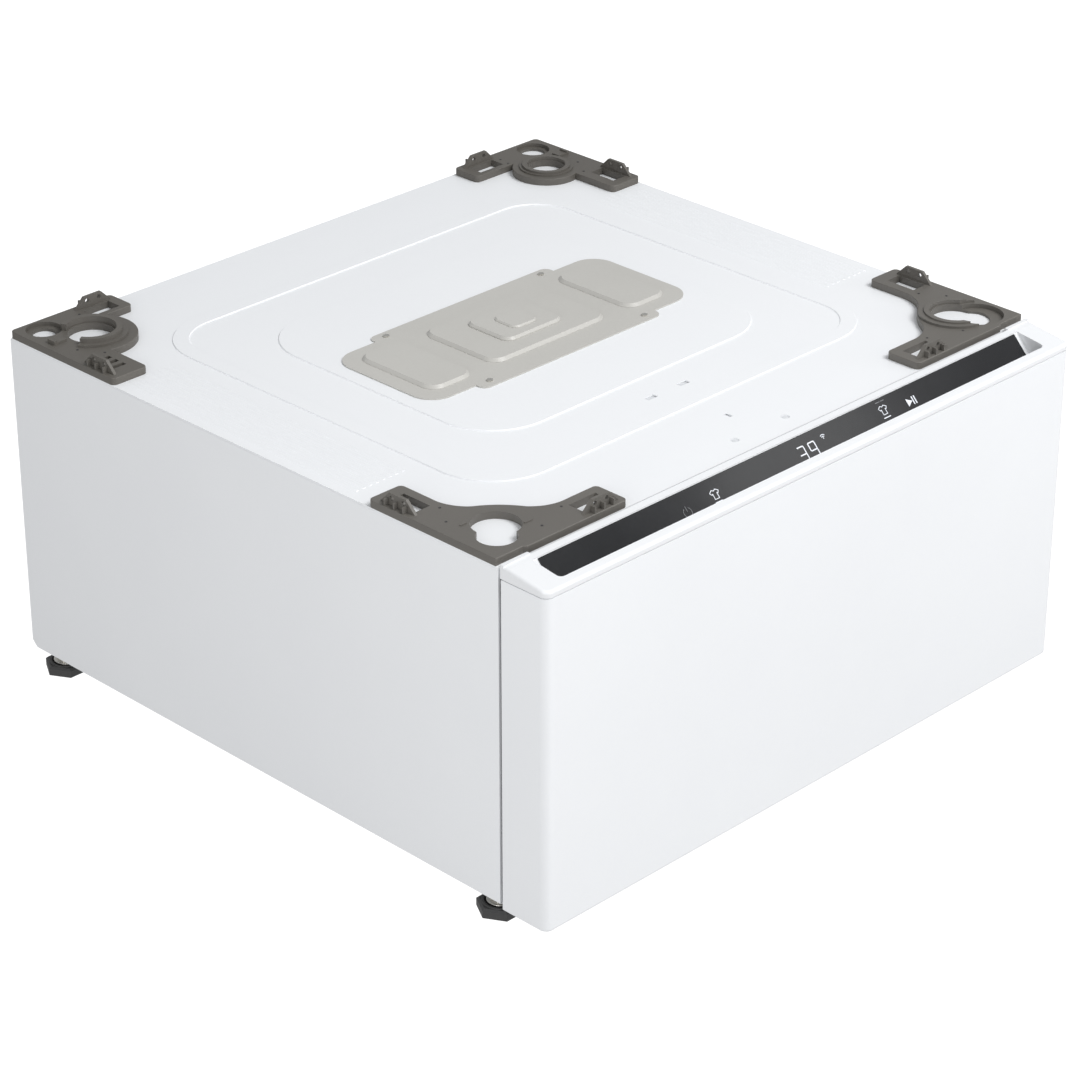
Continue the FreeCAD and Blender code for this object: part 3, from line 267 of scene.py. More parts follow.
def makeHoleGroup():
    # rows of punched holes round the Z axis: 1 in a hole, 0 on the sheet
    group, entry, leave = newGroup("punchedHoles", {"Radius": 0.225, "Pitch": 0.0165, "Hole": 0.0024})
    split = group.nodes.new("ShaderNodeSeparateXYZ")
    group.links.new(entry.outputs["Vector"], split.inputs["Vector"])
    angle = mathNode(group, "ARCTAN2", split.outputs["Y"], split.outputs["X"])
    along = mathNode(group, "DIVIDE", mathNode(group, "MULTIPLY", angle, entry.outputs["Radius"]),
                     entry.outputs["Pitch"])
    row = mathNode(group, "DIVIDE", split.outputs["Z"], entry.outputs["Pitch"])
    odd = mathNode(group, "MULTIPLY", mathNode(group, "MODULO", mathNode(group, "FLOOR", row), 2.0), 0.5)
    dx = mathNode(group, "SUBTRACT", mathNode(group, "FRACT", mathNode(group, "ADD", along, odd)), 0.5)
    dz = mathNode(group, "SUBTRACT", mathNode(group, "FRACT", row), 0.5)
    squareX, squareZ = mathNode(group, "MULTIPLY", dx, dx), mathNode(group, "MULTIPLY", dz, dz)
    square = mathNode(group, "ADD", squareX, squareZ)
    reach = mathNode(group, "MULTIPLY", mathNode(group, "SQRT", square), entry.outputs["Pitch"])
    edge = group.nodes.new("ShaderNodeMapRange")
    edge.interpolation_type = "SMOOTHSTEP"
    group.links.new(reach, edge.inputs["Value"])
    group.links.new(entry.outputs["Hole"], edge.inputs["From Min"])
    group.links.new(mathNode(group, "MULTIPLY", entry.outputs["Hole"], 1.25), edge.inputs["From Max"])
    edge.inputs["To Min"].default_value, edge.inputs["To Max"].default_value = 1.0, 0.0
    group.links.new(edge.outputs["Result"], leave.inputs["Value"])
    return group


effects = {"peel": makePeelGroup(), "mould": makeMouldGroup(), "patches": makePatchGroup(),
           "rolled": makeBrushGroup(), "spangle": makeSpangleGroup(), "holes": makeHoleGroup()}

# what each surface is made of; the lighter taupe of the front brackets is painted light
finishSettings = {
    "whitePaint": {"color": (0.86, 0.872, 0.89), "tint": (0.84, 0.852, 0.872), "rough": 0.42, "spread": 0.05,
                   "grain": "peel", "scale": 420, "bump": 0.02, "coat": 0.06},
    "whiteCap": {"color": (0.81, 0.82, 0.836), "tint": (0.8, 0.811, 0.828), "rough": 0.38, "spread": 0.012,
                 "grain": "peel", "scale": 420, "bump": 0.01, "coat": 0.06},
    "coverGrey": {"color": (0.53, 0.52, 0.49), "tint": (0.5, 0.49, 0.462), "rough": 0.42, "spread": 0.08,
                  "grain": "mould", "scale": 900, "bump": 0.06, "metal": 0.0},
    "taupePlastic": {"color": (0.098, 0.09, 0.08), "tint": (0.125, 0.116, 0.102), "rough": 0.5, "spread": 0.1,
                     "grain": "mould", "scale": 1100, "bump": 0.12},
    # the front brackets' taupe: the same plastic as the rear ones, painted lighter as painted light for the
    # brighter front
    "taupePaintedLightFront": {"color": (0.118, 0.11, 0.099), "tint": (0.145, 0.136, 0.122), "rough": 0.48, "spread": 0.1,
                   "grain": "mould", "scale": 1100, "bump": 0.12},
    "footPlastic": {"color": (0.04, 0.04, 0.04), "tint": (0.06, 0.06, 0.06), "rough": 0.5, "spread": 0.12,
                    "grain": "mould", "scale": 1000, "bump": 0.12},
    "darkPlastic": {"color": (0.035, 0.036, 0.038), "tint": (0.05, 0.05, 0.052), "rough": 0.48, "spread": 0.1,
                    "grain": "mould", "scale": 1200, "bump": 0.1},
    "stripGlass": {"color": (0.009, 0.0095, 0.011), "tint": (0.013, 0.0135, 0.0155), "rough": 0.12,
                   "spread": 0.05, "grain": "peel", "scale": 90, "bump": 0.012, "coat": 0.2},
    "glyphWhite": {"color": (0.72, 0.74, 0.78), "tint": (0.62, 0.65, 0.7), "rough": 0.4, "spread": 0.05,
                   "grain": "mould", "scale": 3000, "bump": 0.02, "glow": 0.35},
    "glyphDim": {"color": (0.2, 0.205, 0.215), "tint": (0.16, 0.165, 0.175), "rough": 0.4, "spread": 0.05,
                 "grain": "mould", "scale": 3000, "bump": 0.02},
    "deckPlastic": {"color": (0.7, 0.715, 0.735), "tint": (0.66, 0.675, 0.7), "rough": 0.4, "spread": 0.08,
                    "grain": "mould", "scale": 1300, "bump": 0.08},
    "tubPlastic": {"color": (0.46, 0.48, 0.5), "tint": (0.4, 0.42, 0.445), "rough": 0.5, "spread": 0.12,
                   "grain": "mould", "scale": 700, "bump": 0.12},
    "greyPlastic": {"color": (0.2, 0.205, 0.21), "tint": (0.16, 0.165, 0.17), "rough": 0.5, "spread": 0.1,
                    "grain": "mould", "scale": 1000, "bump": 0.1},
    "sealRubber": {"color": (0.055, 0.056, 0.06), "tint": (0.08, 0.08, 0.084), "rough": 0.68, "spread": 0.1,
                   "grain": "mould", "scale": 800, "bump": 0.16},
    "zincSheet": {"color": (0.57, 0.59, 0.6), "tint": (0.5, 0.52, 0.532), "rough": 0.38, "spread": 0.14,
                  "grain": "spangle", "scale": 150, "bump": 0.03, "metal": 0.8},
    "railSteel": {"color": (0.6, 0.61, 0.61), "tint": (0.5, 0.51, 0.515), "rough": 0.32, "spread": 0.1,
                  "grain": "rolled", "scale": 60, "bump": 0.05, "metal": 1.0},
    "drumSteel": {"color": (0.66, 0.665, 0.67), "tint": (0.58, 0.585, 0.59), "rough": 0.24, "spread": 0.08,
                  "grain": "rolled", "scale": 50, "bump": 0.04, "metal": 1.0},
    "brightSteel": {"color": (0.72, 0.72, 0.72), "tint": (0.62, 0.62, 0.62), "rough": 0.18, "spread": 0.08,
                    "grain": "rolled", "scale": 90, "bump": 0.03, "metal": 1.0},
    "yellowZinc": {"color": (0.74, 0.73, 0.7), "tint": (0.64, 0.62, 0.57), "rough": 0.28, "spread": 0.1,
                   "grain": "peel", "scale": 700, "bump": 0.05, "metal": 1.0},
    "coreSteel": {"color": (0.2, 0.2, 0.21), "tint": (0.13, 0.13, 0.14), "rough": 0.45, "spread": 0.1,
                  "grain": "rolled", "scale": 240, "bump": 0.2, "metal": 0.8},
    "magnetBlack": {"color": (0.05, 0.05, 0.054), "tint": (0.09, 0.09, 0.094), "rough": 0.42, "spread": 0.12,
                    "grain": "peel", "scale": 500, "bump": 0.1, "metal": 0.4},
    "enamelCopper": {"color": (0.52, 0.2, 0.07), "tint": (0.4, 0.13, 0.04), "rough": 0.26, "spread": 0.08,
                     "grain": "rolled", "scale": 110, "bump": 0.3, "metal": 1.0, "coat": 0.5},
    "boardGreen": {"color": (0.02, 0.12, 0.05), "tint": (0.03, 0.19, 0.08), "rough": 0.38, "spread": 0.1,
                   "grain": "spangle", "scale": 300, "bump": 0.1, "coat": 0.3},
    "clearGlass": {"color": (0.8, 0.84, 0.84), "tint": (0.76, 0.8, 0.81), "rough": 0.05, "spread": 0.02,
                   "grain": "peel", "scale": 60, "bump": 0.005, "clear": 0.9},
    "hotRed": {"color": (0.42, 0.03, 0.025), "tint": (0.34, 0.025, 0.02), "rough": 0.42, "spread": 0.08,
               "grain": "mould", "scale": 1200, "bump": 0.08},
    "coldBlue": {"color": (0.03, 0.12, 0.42), "tint": (0.025, 0.1, 0.34), "rough": 0.42, "spread": 0.08,
                 "grain": "mould", "scale": 1200, "bump": 0.08},
}


def placeGroup(tree, key, vector, values):
    node = tree.nodes.new("ShaderNodeGroup")
    node.node_tree = effects[key]
    tree.links.new(vector, node.inputs["Vector"])
    for label, value in values.items():
        node.inputs[label].default_value = value
    return node.outputs["Value"]


def mixColors(tree, factor, first, second):
    node = tree.nodes.new("ShaderNodeMix")
    node.data_type = "RGBA"
    tree.links.new(factor, node.inputs[0])
    for socket, value in ((node.inputs[6], first), (node.inputs[7], second)):
        if isinstance(value, tuple):
            socket.default_value = (*value, 1.0)
        else:
            tree.links.new(value, socket)
    return node.outputs[2]


def makeFinish(name, settings):
    material = bpy.data.materials.new(name)
    material.use_nodes = True
    tree = material.node_tree
    shader = tree.nodes["Principled BSDF"]
    shader.inputs["Metallic"].default_value = settings.get("metal", 0.0)
    shader.inputs["Coat Weight"].default_value = settings.get("coat", 0.0)
    shader.inputs["Coat Roughness"].default_value = 0.12
    shader.inputs["Transmission Weight"].default_value = settings.get("clear", 0.0)
    place = tree.nodes.new("ShaderNodeTexCoord").outputs["Object"]
    patches = placeGroup(tree, "patches", place, {"Scale": 7.0})
    grain = placeGroup(tree, settings["grain"], place, {"Scale": settings["scale"]})
    pattern = grain if settings["grain"] == "spangle" else patches
    color = mixColors(tree, pattern, settings["color"], settings["tint"])
    tree.links.new(color, shader.inputs["Base Color"])
    if settings.get("glow"):
        tree.links.new(color, shader.inputs["Emission Color"])
        shader.inputs["Emission Strength"].default_value = settings["glow"]
    gloss = tree.nodes.new("ShaderNodeMapRange")
    gloss.inputs["To Min"].default_value = settings["rough"] - settings["spread"]
    gloss.inputs["To Max"].default_value = settings["rough"] + settings["spread"]
    tree.links.new(patches, gloss.inputs["Value"])
    tree.links.new(gloss.outputs["Result"], shader.inputs["Roughness"])
    bump = tree.nodes.new("ShaderNodeBump")
    bump.inputs["Strength"].default_value = settings["bump"]
    bump.inputs["Distance"].default_value = 0.0006
    tree.links.new(grain, bump.inputs["Height"])
    tree.links.new(bump.outputs["Normal"], shader.inputs["Normal"])
    return material


finishes = {name: makeFinish(name, settings) for name, settings in finishSettings.items()}


punched = {"Pitch": 0.0165, "Hole": 0.0022}


def punchFinish(name, source, centre, radius):
    # a copy of a metal finish with punched rows of holes round the drum's axis, the holes painted near-black
    # as painted shade
    material = finishes[source].copy()
    material.name = name
    tree = material.node_tree
    shader = tree.nodes["Principled BSDF"]
    centred = tree.nodes.new("ShaderNodeMapping")
    centred.inputs["Location"].default_value = (-centre.x, -centre.y, -centre.z)
    place = next(n for n in tree.nodes if n.type == "TEX_COORD").outputs["Object"]
    tree.links.new(place, centred.inputs["Vector"])
    mask = placeGroup(tree, "holes", centred.outputs["Vector"], {"Radius": radius, **punched})
    old = shader.inputs["Base Color"].links[0].from_socket
    # painted shade: the hole mask darkens the base colour to near-black where the dark inside of a hole would
    # be
    tree.links.new(mixColors(tree, mask, old, (0.01, 0.01, 0.012)), shader.inputs["Base Color"])
    bump = next(n for n in tree.nodes if n.type == "BUMP")
    dent = tree.nodes.new("ShaderNodeBump")
    dent.invert = True
    dent.inputs["Strength"].default_value = 0.8
    dent.inputs["Distance"].default_value = 0.001
    tree.links.new(mask, dent.inputs["Height"])
    tree.links.new(bump.outputs["Normal"], dent.inputs["Normal"])
    tree.links.new(dent.outputs["Normal"], shader.inputs["Normal"])
    return material


drumLow, drumHigh = boxOf("drum_wall")
drumAxis = (drumLow + drumHigh) / 2
finishes["drumPunched"] = punchFinish("drumPunched", "drumSteel", drumAxis, (drumHigh.x - drumLow.x) / 2)
print("finishes made:", len(finishes))

nodeFinish = {
    "whitePaint": ["left_side_panel", "right_side_panel", "top_panel", "front_panel"],
    "whiteCap": ["control_cap"],
    "coverGrey": ["access_cover"],
    "taupePlastic": ["bracket_rear_left", "bracket_rear_right"],
    # the front brackets get the lighter taupe, which is painted light
    "taupePaintedLightFront": ["bracket_front_left", "bracket_front_right"],
    "footPlastic": ["foot_front_left", "foot_front_right", "foot_rear_left", "foot_rear_right"],
    "stripGlass": ["control_glass"],
    "boardGreen": ["display_board"],
    "zincSheet": ["rear_panel", "base_pan", "drawer_pan", "rotor_bell"],
    "railSteel": ["slide_outer_left", "slide_outer_right", "slide_mid_left", "slide_mid_right",
                  "slide_inner_left", "slide_inner_right"],
    "deckPlastic": ["deck", "dispenser_cup", "dispenser_cover", "lid_frame", "front_liner"],
    "clearGlass": ["lid_window"],
    "sealRubber": ["gasket", "shaft_seal"],
    "tubPlastic": ["outer_tub", "tub_ring", "balance_ring", "pulsator"],
    "greyPlastic": ["inlet_valve", "drain_spigot", "pump_body", "pump_impeller", "spring_cups"],
    "darkPlastic": ["power_gland", "lid_latch", "main_board_box"],
    "drumPunched": ["drum_wall"],
    "drumSteel": ["drum_base"],
    "brightSteel": ["bearings", "spin_shaft", "wash_shaft", "pump_motor"],
    "yellowZinc": ["cover_screws", "foot_lock_nuts", "lid_hinge_pins", "suspension_rods",
                   "suspension_springs"],
    "coreSteel": ["stator"],
    "enamelCopper": ["stator_coils"],
    "magnetBlack": ["rotor_magnets"],
}
for finish, members in nodeFinish.items():
    for node in members:
        for place in nodes[node].material_slots:
            place.material = finishes[finish]
print("CAD nodes dressed:", sum(len(m) for m in nodeFinish.values()), "of", len(nodes))

# camera, floor and light
studio = {
    "azimuth": -45.2, "elevation": 27.6, "distance": 3.365, "lens": 118.99, "sensor": 36.0,
    "aim": (-0.012, -0.022, 0.149), "lightAim": (0.0, 0.0, 0.15),
    "sky": 0.46, "floorTone": 0.12, "floorGlow": 0.5, "seenGlow": 0.6,
    "panels": {
        "keyPanel": {"place": (0.9, -2.3, 3.5), "power": 120.0, "size": 2.0},
        "sidePanel": {"place": (-1.9, -0.9, 0.7), "power": 12.2, "size": 1.0},
        "glintPanel": {"place": (2.06, -1.72, 2.02), "power": 0.36, "size": 0.3},
        "fillPanel": {"place": (1.2, -1.5, 0.6), "power": 3.6, "size": 0.6},
    },
}


def makeCamera():
    turn, tilt = math.radians(studio["azimuth"]), math.radians(studio["elevation"])
    back = Vector((math.sin(turn) * math.cos(tilt), -math.cos(turn) * math.cos(tilt), math.sin(tilt)))
    deselectAll()
    bpy.ops.object.camera_add(location=Vector(studio["aim"]) + back * studio["distance"])
    camera = bpy.context.object
    camera.rotation_mode = "QUATERNION"
    camera.rotation_quaternion = back.to_track_quat("Z", "Y")
    camera.data.lens, camera.data.sensor_width = studio["lens"], studio["sensor"]
    camera.data.clip_start, camera.data.clip_end = 0.05, 60.0
    bpy.context.scene.camera = camera


def makeFloor():
    deselectAll()
    bpy.ops.mesh.primitive_plane_add(size=30, location=(0, 0, -0.0005))
    floor = bpy.context.object
    floor.name = "studioFloor"
    paper = bpy.data.materials.new("floorPaper")
    paper.use_nodes = True
    tree = paper.node_tree
    shader = tree.nodes["Principled BSDF"]
    shader.inputs["Base Color"].default_value = (*[studio["floorTone"]] * 3, 1)
    shader.inputs["Roughness"].default_value = 0.9
    shader.inputs["Specular IOR Level"].default_value = 0.0
    shader.inputs["Emission Color"].default_value = (1, 1, 1, 1)
    path = tree.nodes.new("ShaderNodeLightPath")
    glow = mathNode(tree, "MULTIPLY_ADD", path.outputs["Is Camera Ray"], studio["seenGlow"])
    glow.node.inputs[2].default_value = studio["floorGlow"]
    tree.links.new(glow, shader.inputs["Emission Strength"])
    floor.data.materials.append(paper)


def makeSky():
    # a soft sky lights the machine, and plain white is what the camera sees behind it
    world = bpy.data.worlds.new("studioSky")
    bpy.context.scene.world = world
    world.use_nodes = True
    tree = world.node_tree
    tree.nodes.clear()
    lit, seen = tree.nodes.new("ShaderNodeBackground"), tree.nodes.new("ShaderNodeBackground")
    lit.inputs["Color"].default_value = (0.97, 0.985, 1.0, 1)
    lit.inputs["Strength"].default_value = studio["sky"]
    seen.inputs["Color"].default_value = (1, 1, 1, 1)
    mix, path = tree.nodes.new("ShaderNodeMixShader"), tree.nodes.new("ShaderNodeLightPath")
    leave = tree.nodes.new("ShaderNodeOutputWorld")
    tree.links.new(path.outputs["Is Camera Ray"], mix.inputs[0])
    tree.links.new(lit.outputs[0], mix.inputs[1])
    tree.links.new(seen.outputs[0], mix.inputs[2])
    tree.links.new(mix.outputs[0], leave.inputs["Surface"])


def addPanel(name, panel):
    deselectAll()
    bpy.ops.object.light_add(type="AREA", location=panel["place"])
    light = bpy.context.object
    light.name = name
    light.data.energy, light.data.size = panel["power"], panel["size"]
    light.rotation_mode = "QUATERNION"
    away = Vector(panel["place"]) - Vector(studio["lightAim"])
    light.rotation_quaternion = away.to_track_quat("Z", "Y")
    light.visible_camera = False


makeCamera()
makeFloor()
makeSky()
for panelName, panelSettings in studio["panels"].items():
    addPanel(panelName, panelSettings)
bpy.context.scene.view_settings.view_transform = "Standard"
bpy.context.scene.view_settings.look = "None"
print("camera and studio ready")

# touch strip: places are across and up from the middle of its face
stripMarks = {
    "thick": 0.00025, "lift": 0.00002, "stripThick": 0.00125, "barCorner": 0.35,
    "fineLine": 0.0006, "plainLine": 0.0007, "dotLine": 0.0008, "underline": 0.0009, "segment": 0.0011,
    "pauseLine": 0.0013, "segmentGap": 0.0006, "digitTall": 0.015, "digitWide": 0.0078, "shirt": 0.0085,
    "power": (-0.146, 0.001), "wash": (-0.109, 0.0052), "three": (0.0035, 0.003), "nine": (0.0175, 0.003),
    "wireless": (0.034, 0.0085), "rinse": (0.115, 0.0085), "hint": (0.110, 0.0168), "start": (0.1475, 0.005),
}


def stripFrame():
    # the strip's upper face: its middle, its direction up the slope, and its outward normal
    low, high = boxOf("control_glass")
    thick = stripMarks["stripThick"]
    angle = math.atan2(high.z - low.z, high.y - low.y)
    for _ in range(12):
        dy = high.y - low.y - thick * math.sin(angle)
        dz = high.z - low.z - thick * math.cos(angle)
        angle = math.atan2(dz, dy)
    normal = Vector((0, -math.sin(angle), math.cos(angle)))
    up = Vector((0, math.cos(angle), math.sin(angle)))
    middle = (low + high) / 2 + normal * (thick / 2 + stripMarks["lift"])
    return Matrix(((1, 0, 0, 0), (0, up.y, normal.y, middle.y), (0, up.z, normal.z, middle.z), (0, 0, 0, 1)))


def bar(points, width):
    # thin bars that follow a few points in the strip's own plane
    thick = stripMarks["thick"]
    bars = []
    for (x0, y0), (x1, y1) in zip(points, points[1:]):
        reach = (math.hypot(x1 - x0, y1 - y0) + width) / 2
        piece = addBlock("bar", (-reach, -width / 2, 0), (reach, width / 2, thick))
        selectEdges(piece, lambda a, b: abs(a.z - b.z) > thick / 2)
        bpy.ops.mesh.bevel(offset=width * stripMarks["barCorner"], segments=2)
        leaveEdit()
        turn = Matrix.Rotation(math.atan2(y1 - y0, x1 - x0), 4, "Z")
        piece.data.transform(Matrix.Translation(((x0 + x1) / 2, (y0 + y1) / 2, 0)) @ turn)
        bars.append(piece)
    return bars


def arcPoints(x, y, radius, start, end, count):
    step = math.radians(end - start) / (count - 1)
    angles = [math.radians(start) + n * step for n in range(count)]
    return [(x + radius * math.cos(a), y + radius * math.sin(a)) for a in angles]


def digitBars(number, x, y):
    lit = {"3": "abgcd", "9": "abfgcd"}[number]
    gap = stripMarks["segmentGap"]
    h, w = stripMarks["digitTall"] / 2, stripMarks["digitWide"] / 2
    ends = {"a": ((-w + gap, h), (w - gap, h)), "g": ((-w + gap, 0), (w - gap, 0)),
            "d": ((-w + gap, -h), (w - gap, -h)), "f": ((-w, gap), (-w, h - gap)),
            "b": ((w, gap), (w, h - gap)), "c": ((w, -h + gap), (w, -gap))}
    bars = []
    for segment in lit:
        bars += bar([(x + px, y + py) for px, py in ends[segment]], stripMarks["segment"])
    return bars


def shirtBars(x, y):
    size = stripMarks["shirt"]
    outline = [(-0.25, 0.5), (-0.62, 0.28), (-0.45, 0.02), (-0.3, 0.1), (-0.3, -0.5), (0.3, -0.5), (0.3, 0.1),
               (0.45, 0.02), (0.62, 0.28), (0.25, 0.5), (0.0, 0.36), (-0.25, 0.5)]
    return bar([(x + px * size, y + py * size) for px, py in outline], stripMarks["fineLine"])


def finishMark(bars, name, finish, face):
    piece = joinAll(bars, name)
    piece.data.transform(face)
    dress(piece, finish, "drawer")


def makePowerMark(face):
    x, y = stripMarks["power"]
    ring = bar(arcPoints(x, y, 0.0046, 125, 415, 16), stripMarks["fineLine"])
    stalk = bar([(x, y + 0.0012), (x, y + 0.0056)], stripMarks["fineLine"])
    finishMark(ring + stalk, "mark_power", "glyphDim", face)


def makeProgrammeMark(name, drop, face):
    x, y = stripMarks[name]
    underline = [(x - 0.004, y - drop), (x + 0.004, y - drop)]
    finishMark(shirtBars(x, y) + bar(underline, stripMarks["underline"]), "mark_" + name, "glyphWhite", face)


def makeMinutes(face):
    digits = digitBars("3", *stripMarks["three"]) + digitBars("9", *stripMarks["nine"])
    finishMark(digits, "mark_minutes", "glyphWhite", face)


def makeWirelessMark(face):
    x, y = stripMarks["wireless"]
    waves = bar(arcPoints(x, y, 0.0038, 50, 130, 6), stripMarks["plainLine"])
    waves += bar(arcPoints(x, y, 0.0021, 50, 130, 5), stripMarks["plainLine"])
    dot = bar([(x, y), (x, y + 0.0005)], stripMarks["dotLine"])
    finishMark(waves + dot, "mark_wireless", "glyphWhite", face)


def makeHintMark(face):
    # two short bars stand for the small words above the rinse mark
    x, y = stripMarks["hint"]
    words = bar([(x, y), (x + 0.0055, y)], stripMarks["plainLine"])
    words += bar([(x + 0.007, y), (x + 0.011, y)], stripMarks["plainLine"])
    finishMark(words, "mark_hint", "glyphDim", face)


def makeStartMark(face):
    x, y = stripMarks["start"]
    thick = stripMarks["thick"]
    deselectAll()
    bpy.ops.mesh.primitive_cylinder_add(vertices=3, radius=0.0044, depth=thick, location=(x, y, thick / 2))
    wedge = bpy.context.object
    wedge.rotation_euler.z = math.radians(-90)
    applyPlace(wedge)
    selectEdges(wedge, lambda a, b: abs(a.z - b.z) > thick / 2)
    bpy.ops.mesh.bevel(offset=0.0003, segments=2)
    leaveEdit()
    pause = []
    for along in (0.0057, 0.0087):
        pause += bar([(x + along, y - 0.0032), (x + along, y + 0.0034)], stripMarks["pauseLine"])
    finishMark([wedge] + pause, "mark_start", "glyphWhite", face)


stripFace = stripFrame()
makePowerMark(stripFace)
makeProgrammeMark("wash", 0.0072, stripFace)
makeMinutes(stripFace)
makeWirelessMark(stripFace)
makeProgrammeMark("rinse", 0.0073, stripFace)
makeHintMark(stripFace)
makeStartMark(stripFace)
print("strip marks made")

footTrim = {
    "nutFrom": 0.0108, "nutHigh": 0.0044, "nutAcross": 0.017, "nutRim": 0.0022, "nutCrown": 0.0004,
    "washerFrom": 0.0092, "washerTo": 0.0107, "washerRadius": 0.0125, "washerRim": 0.0025,
    "washerCrown": 0.0005,
    "rimAt": 0.0094, "rimInner": 0.0143, "rimOuter": 0.0169, "rimThick": 0.0014,
}


def crownTop(piece, rim, rise):
    # the top face drawn in and raised a little, as a turned chamfer
    selectFaces(piece, lambda c, n: n.z > 0.9)
    bpy.ops.mesh.inset(thickness=rim)
    bpy.ops.transform.translate(value=(0, 0, rise))
    leaveEdit()


def makeFootTrim(foot):
    low, high = boxOf("foot_" + foot)
    x, y = (low.x + high.x) / 2, (low.y + high.y) / 2
    washer = addRod("washer", (x, y, footTrim["washerFrom"]), (x, y, footTrim["washerTo"]),
                    footTrim["washerRadius"], 40)
    crownTop(washer, footTrim["washerRim"], footTrim["washerCrown"])
    nut = addRod("nut", (x, y, footTrim["nutFrom"]), (x, y, footTrim["nutFrom"] + footTrim["nutHigh"]),
                 footTrim["nutAcross"] / math.sqrt(3), 6)
    crownTop(nut, footTrim["nutRim"], footTrim["nutCrown"])
    trim = roundEdges(joinAll([washer, nut], "foot_nut_" + foot), 0.0003)
    dress(trim, "yellowZinc", "foot_" + foot)
    rim = addWasher("foot_rim_" + foot, (x, y, footTrim["rimAt"]), (0, 0, 1), footTrim["rimInner"],
                    footTrim["rimOuter"], footTrim["rimThick"], 0.0005, 60)
    dress(rim, "footPlastic", "foot_" + foot)


for footName in ("front_left", "front_right", "rear_left", "rear_right"):
    makeFootTrim(footName)
print("foot trim made")

screw = {"radius": 0.0046, "high": 0.0022, "crown": 0.0006, "crossReach": 0.0021, "crossHalf": 0.00045,
         "crossFrom": 0.0021, "crossTo": 0.0029}


def screwHead(name, place, axis):
    # pan head with a cross of dark blocks, painted shade for the recessed cross, its axis pointing out of the
    # sheet
    head = addRod(name, (0, 0, 0), (0, 0, screw["high"]), screw["radius"], 24)
    crownTop(head, 0.0012, screw["crown"])
    roundEdges(head, 0.0004)
    reach, half = screw["crossReach"], screw["crossHalf"]
    # the dark cross is painted shade: blocks of dark plastic stand where the recess would be
    crossShadeBars = [addBlock("arm", (-x, -y, screw["crossFrom"]), (x, y, screw["crossTo"]))
            for x, y in ((reach, half), (half, reach))]
    for arm in crossShadeBars:
        arm.data.materials.clear()
        arm.data.materials.append(finishes["darkPlastic"])
    head.data.materials.append(finishes["yellowZinc"])
    whole = joinAll([head] + crossShadeBars, name)
    turn = Vector(axis).to_track_quat("Z", "Y").to_matrix().to_4x4()
    whole.data.transform(Matrix.Translation(place) @ turn)
    return whole


rearScrews = {"edge": 0.011, "columns": (-0.16, 0.0, 0.16)}


def makeRearScrews():
    low, high = boxOf("rear_panel")
    edge = rearScrews["edge"]
    columns = [low.x + edge, *rearScrews["columns"], high.x - edge]
    spots = [(x, z) for x in columns for z in (low.z + edge, high.z - edge)]
    spots += [(x, (low.z + high.z) / 2) for x in (columns[0], columns[-1])]
    heads = [screwHead("rearScrew", (x, high.y, z), (0, 1, 0)) for x, z in spots]
    piece = joinAll(heads, "rear_screws")
    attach(piece, "cabinet")


stamping = {"halfWide": 0.135, "bottom": 0.07, "top": 0.2, "proud": 0.0022, "sunk": 0.0004, "border": 0.012,
            "dish": 0.0016, "corner": 0.012}


def makeRearStamping():
    low, high = boxOf("rear_panel")
    y = high.y
    plate = addBlock("rear_stamping", (-stamping["halfWide"], y - stamping["sunk"], stamping["bottom"]),
                     (stamping["halfWide"], y + stamping["proud"], stamping["top"]))
    selectFaces(plate, lambda c, n: n.y > 0.9)
    bpy.ops.mesh.inset(thickness=stamping["border"])
    bpy.ops.transform.translate(value=(0, -stamping["dish"], 0))
    leaveEdit()
    selectEdges(plate, lambda a, b: abs(a.x - b.x) < 1e-5 and abs(a.z - b.z) < 1e-5)
    bpy.ops.mesh.bevel(offset=stamping["corner"], segments=5)
    leaveEdit()
    roundEdges(plate, 0.0007, 3, 20)
    dress(plate, "zincSheet", "cabinet")


ventHoods = {"count": 7, "pitch": 0.02, "bottom": 0.2515, "top": 0.2935, "radius": 0.0034, "openFrom": 0.0006,
             "sheet": 0.0006}


def makeVentHoods():
    # half-round hoods over the vent slots, each open along one side
    y = boxOf("rear_panel")[1].y + 0.0002
    hoods = []
    for n in range(ventHoods["count"]):
        x = (n - (ventHoods["count"] - 1) / 2) * ventHoods["pitch"]
        hood = addRod("hood", (x, y, ventHoods["bottom"]), (x, y, ventHoods["top"]), ventHoods["radius"], 20)
        selectFaces(hood, lambda c, n: abs(n.z) > 0.9)
        bpy.ops.mesh.inset(thickness=0.001)
        leaveEdit()
        selectFaces(hood, lambda c, n, x=x: c.x > x + ventHoods["openFrom"] and abs(n.z) < 0.5)
        bpy.ops.mesh.delete(type="FACE")
        leaveEdit()
        shell = hood.modifiers.new("sheet", "SOLIDIFY")
        shell.thickness = ventHoods["sheet"]
        pickOnly(hood)
        bpy.ops.object.modifier_apply(modifier=shell.name)
        hoods.append(hood)
    dress(roundEdges(joinAll(hoods, "vent_hoods"), 0.0002), "zincSheet", "cabinet")


portTrim = {
    "collarBack": 0.0172, "collarInner": 0.0134, "collarOuter": 0.0185, "collarThick": 0.0022,
    "turns": 6, "pitch": 0.0022, "threadFrom": 0.0015, "threadInner": 0.0126, "threadOuter": 0.01325,
    "screen": 0.0145, "screenWire": 0.0004, "screenBack": 0.006,
    "barbs": 3, "barbFrom": 0.003, "barbPitch": 0.005, "barbInner": 0.0116, "barbOuter": 0.0125,
}


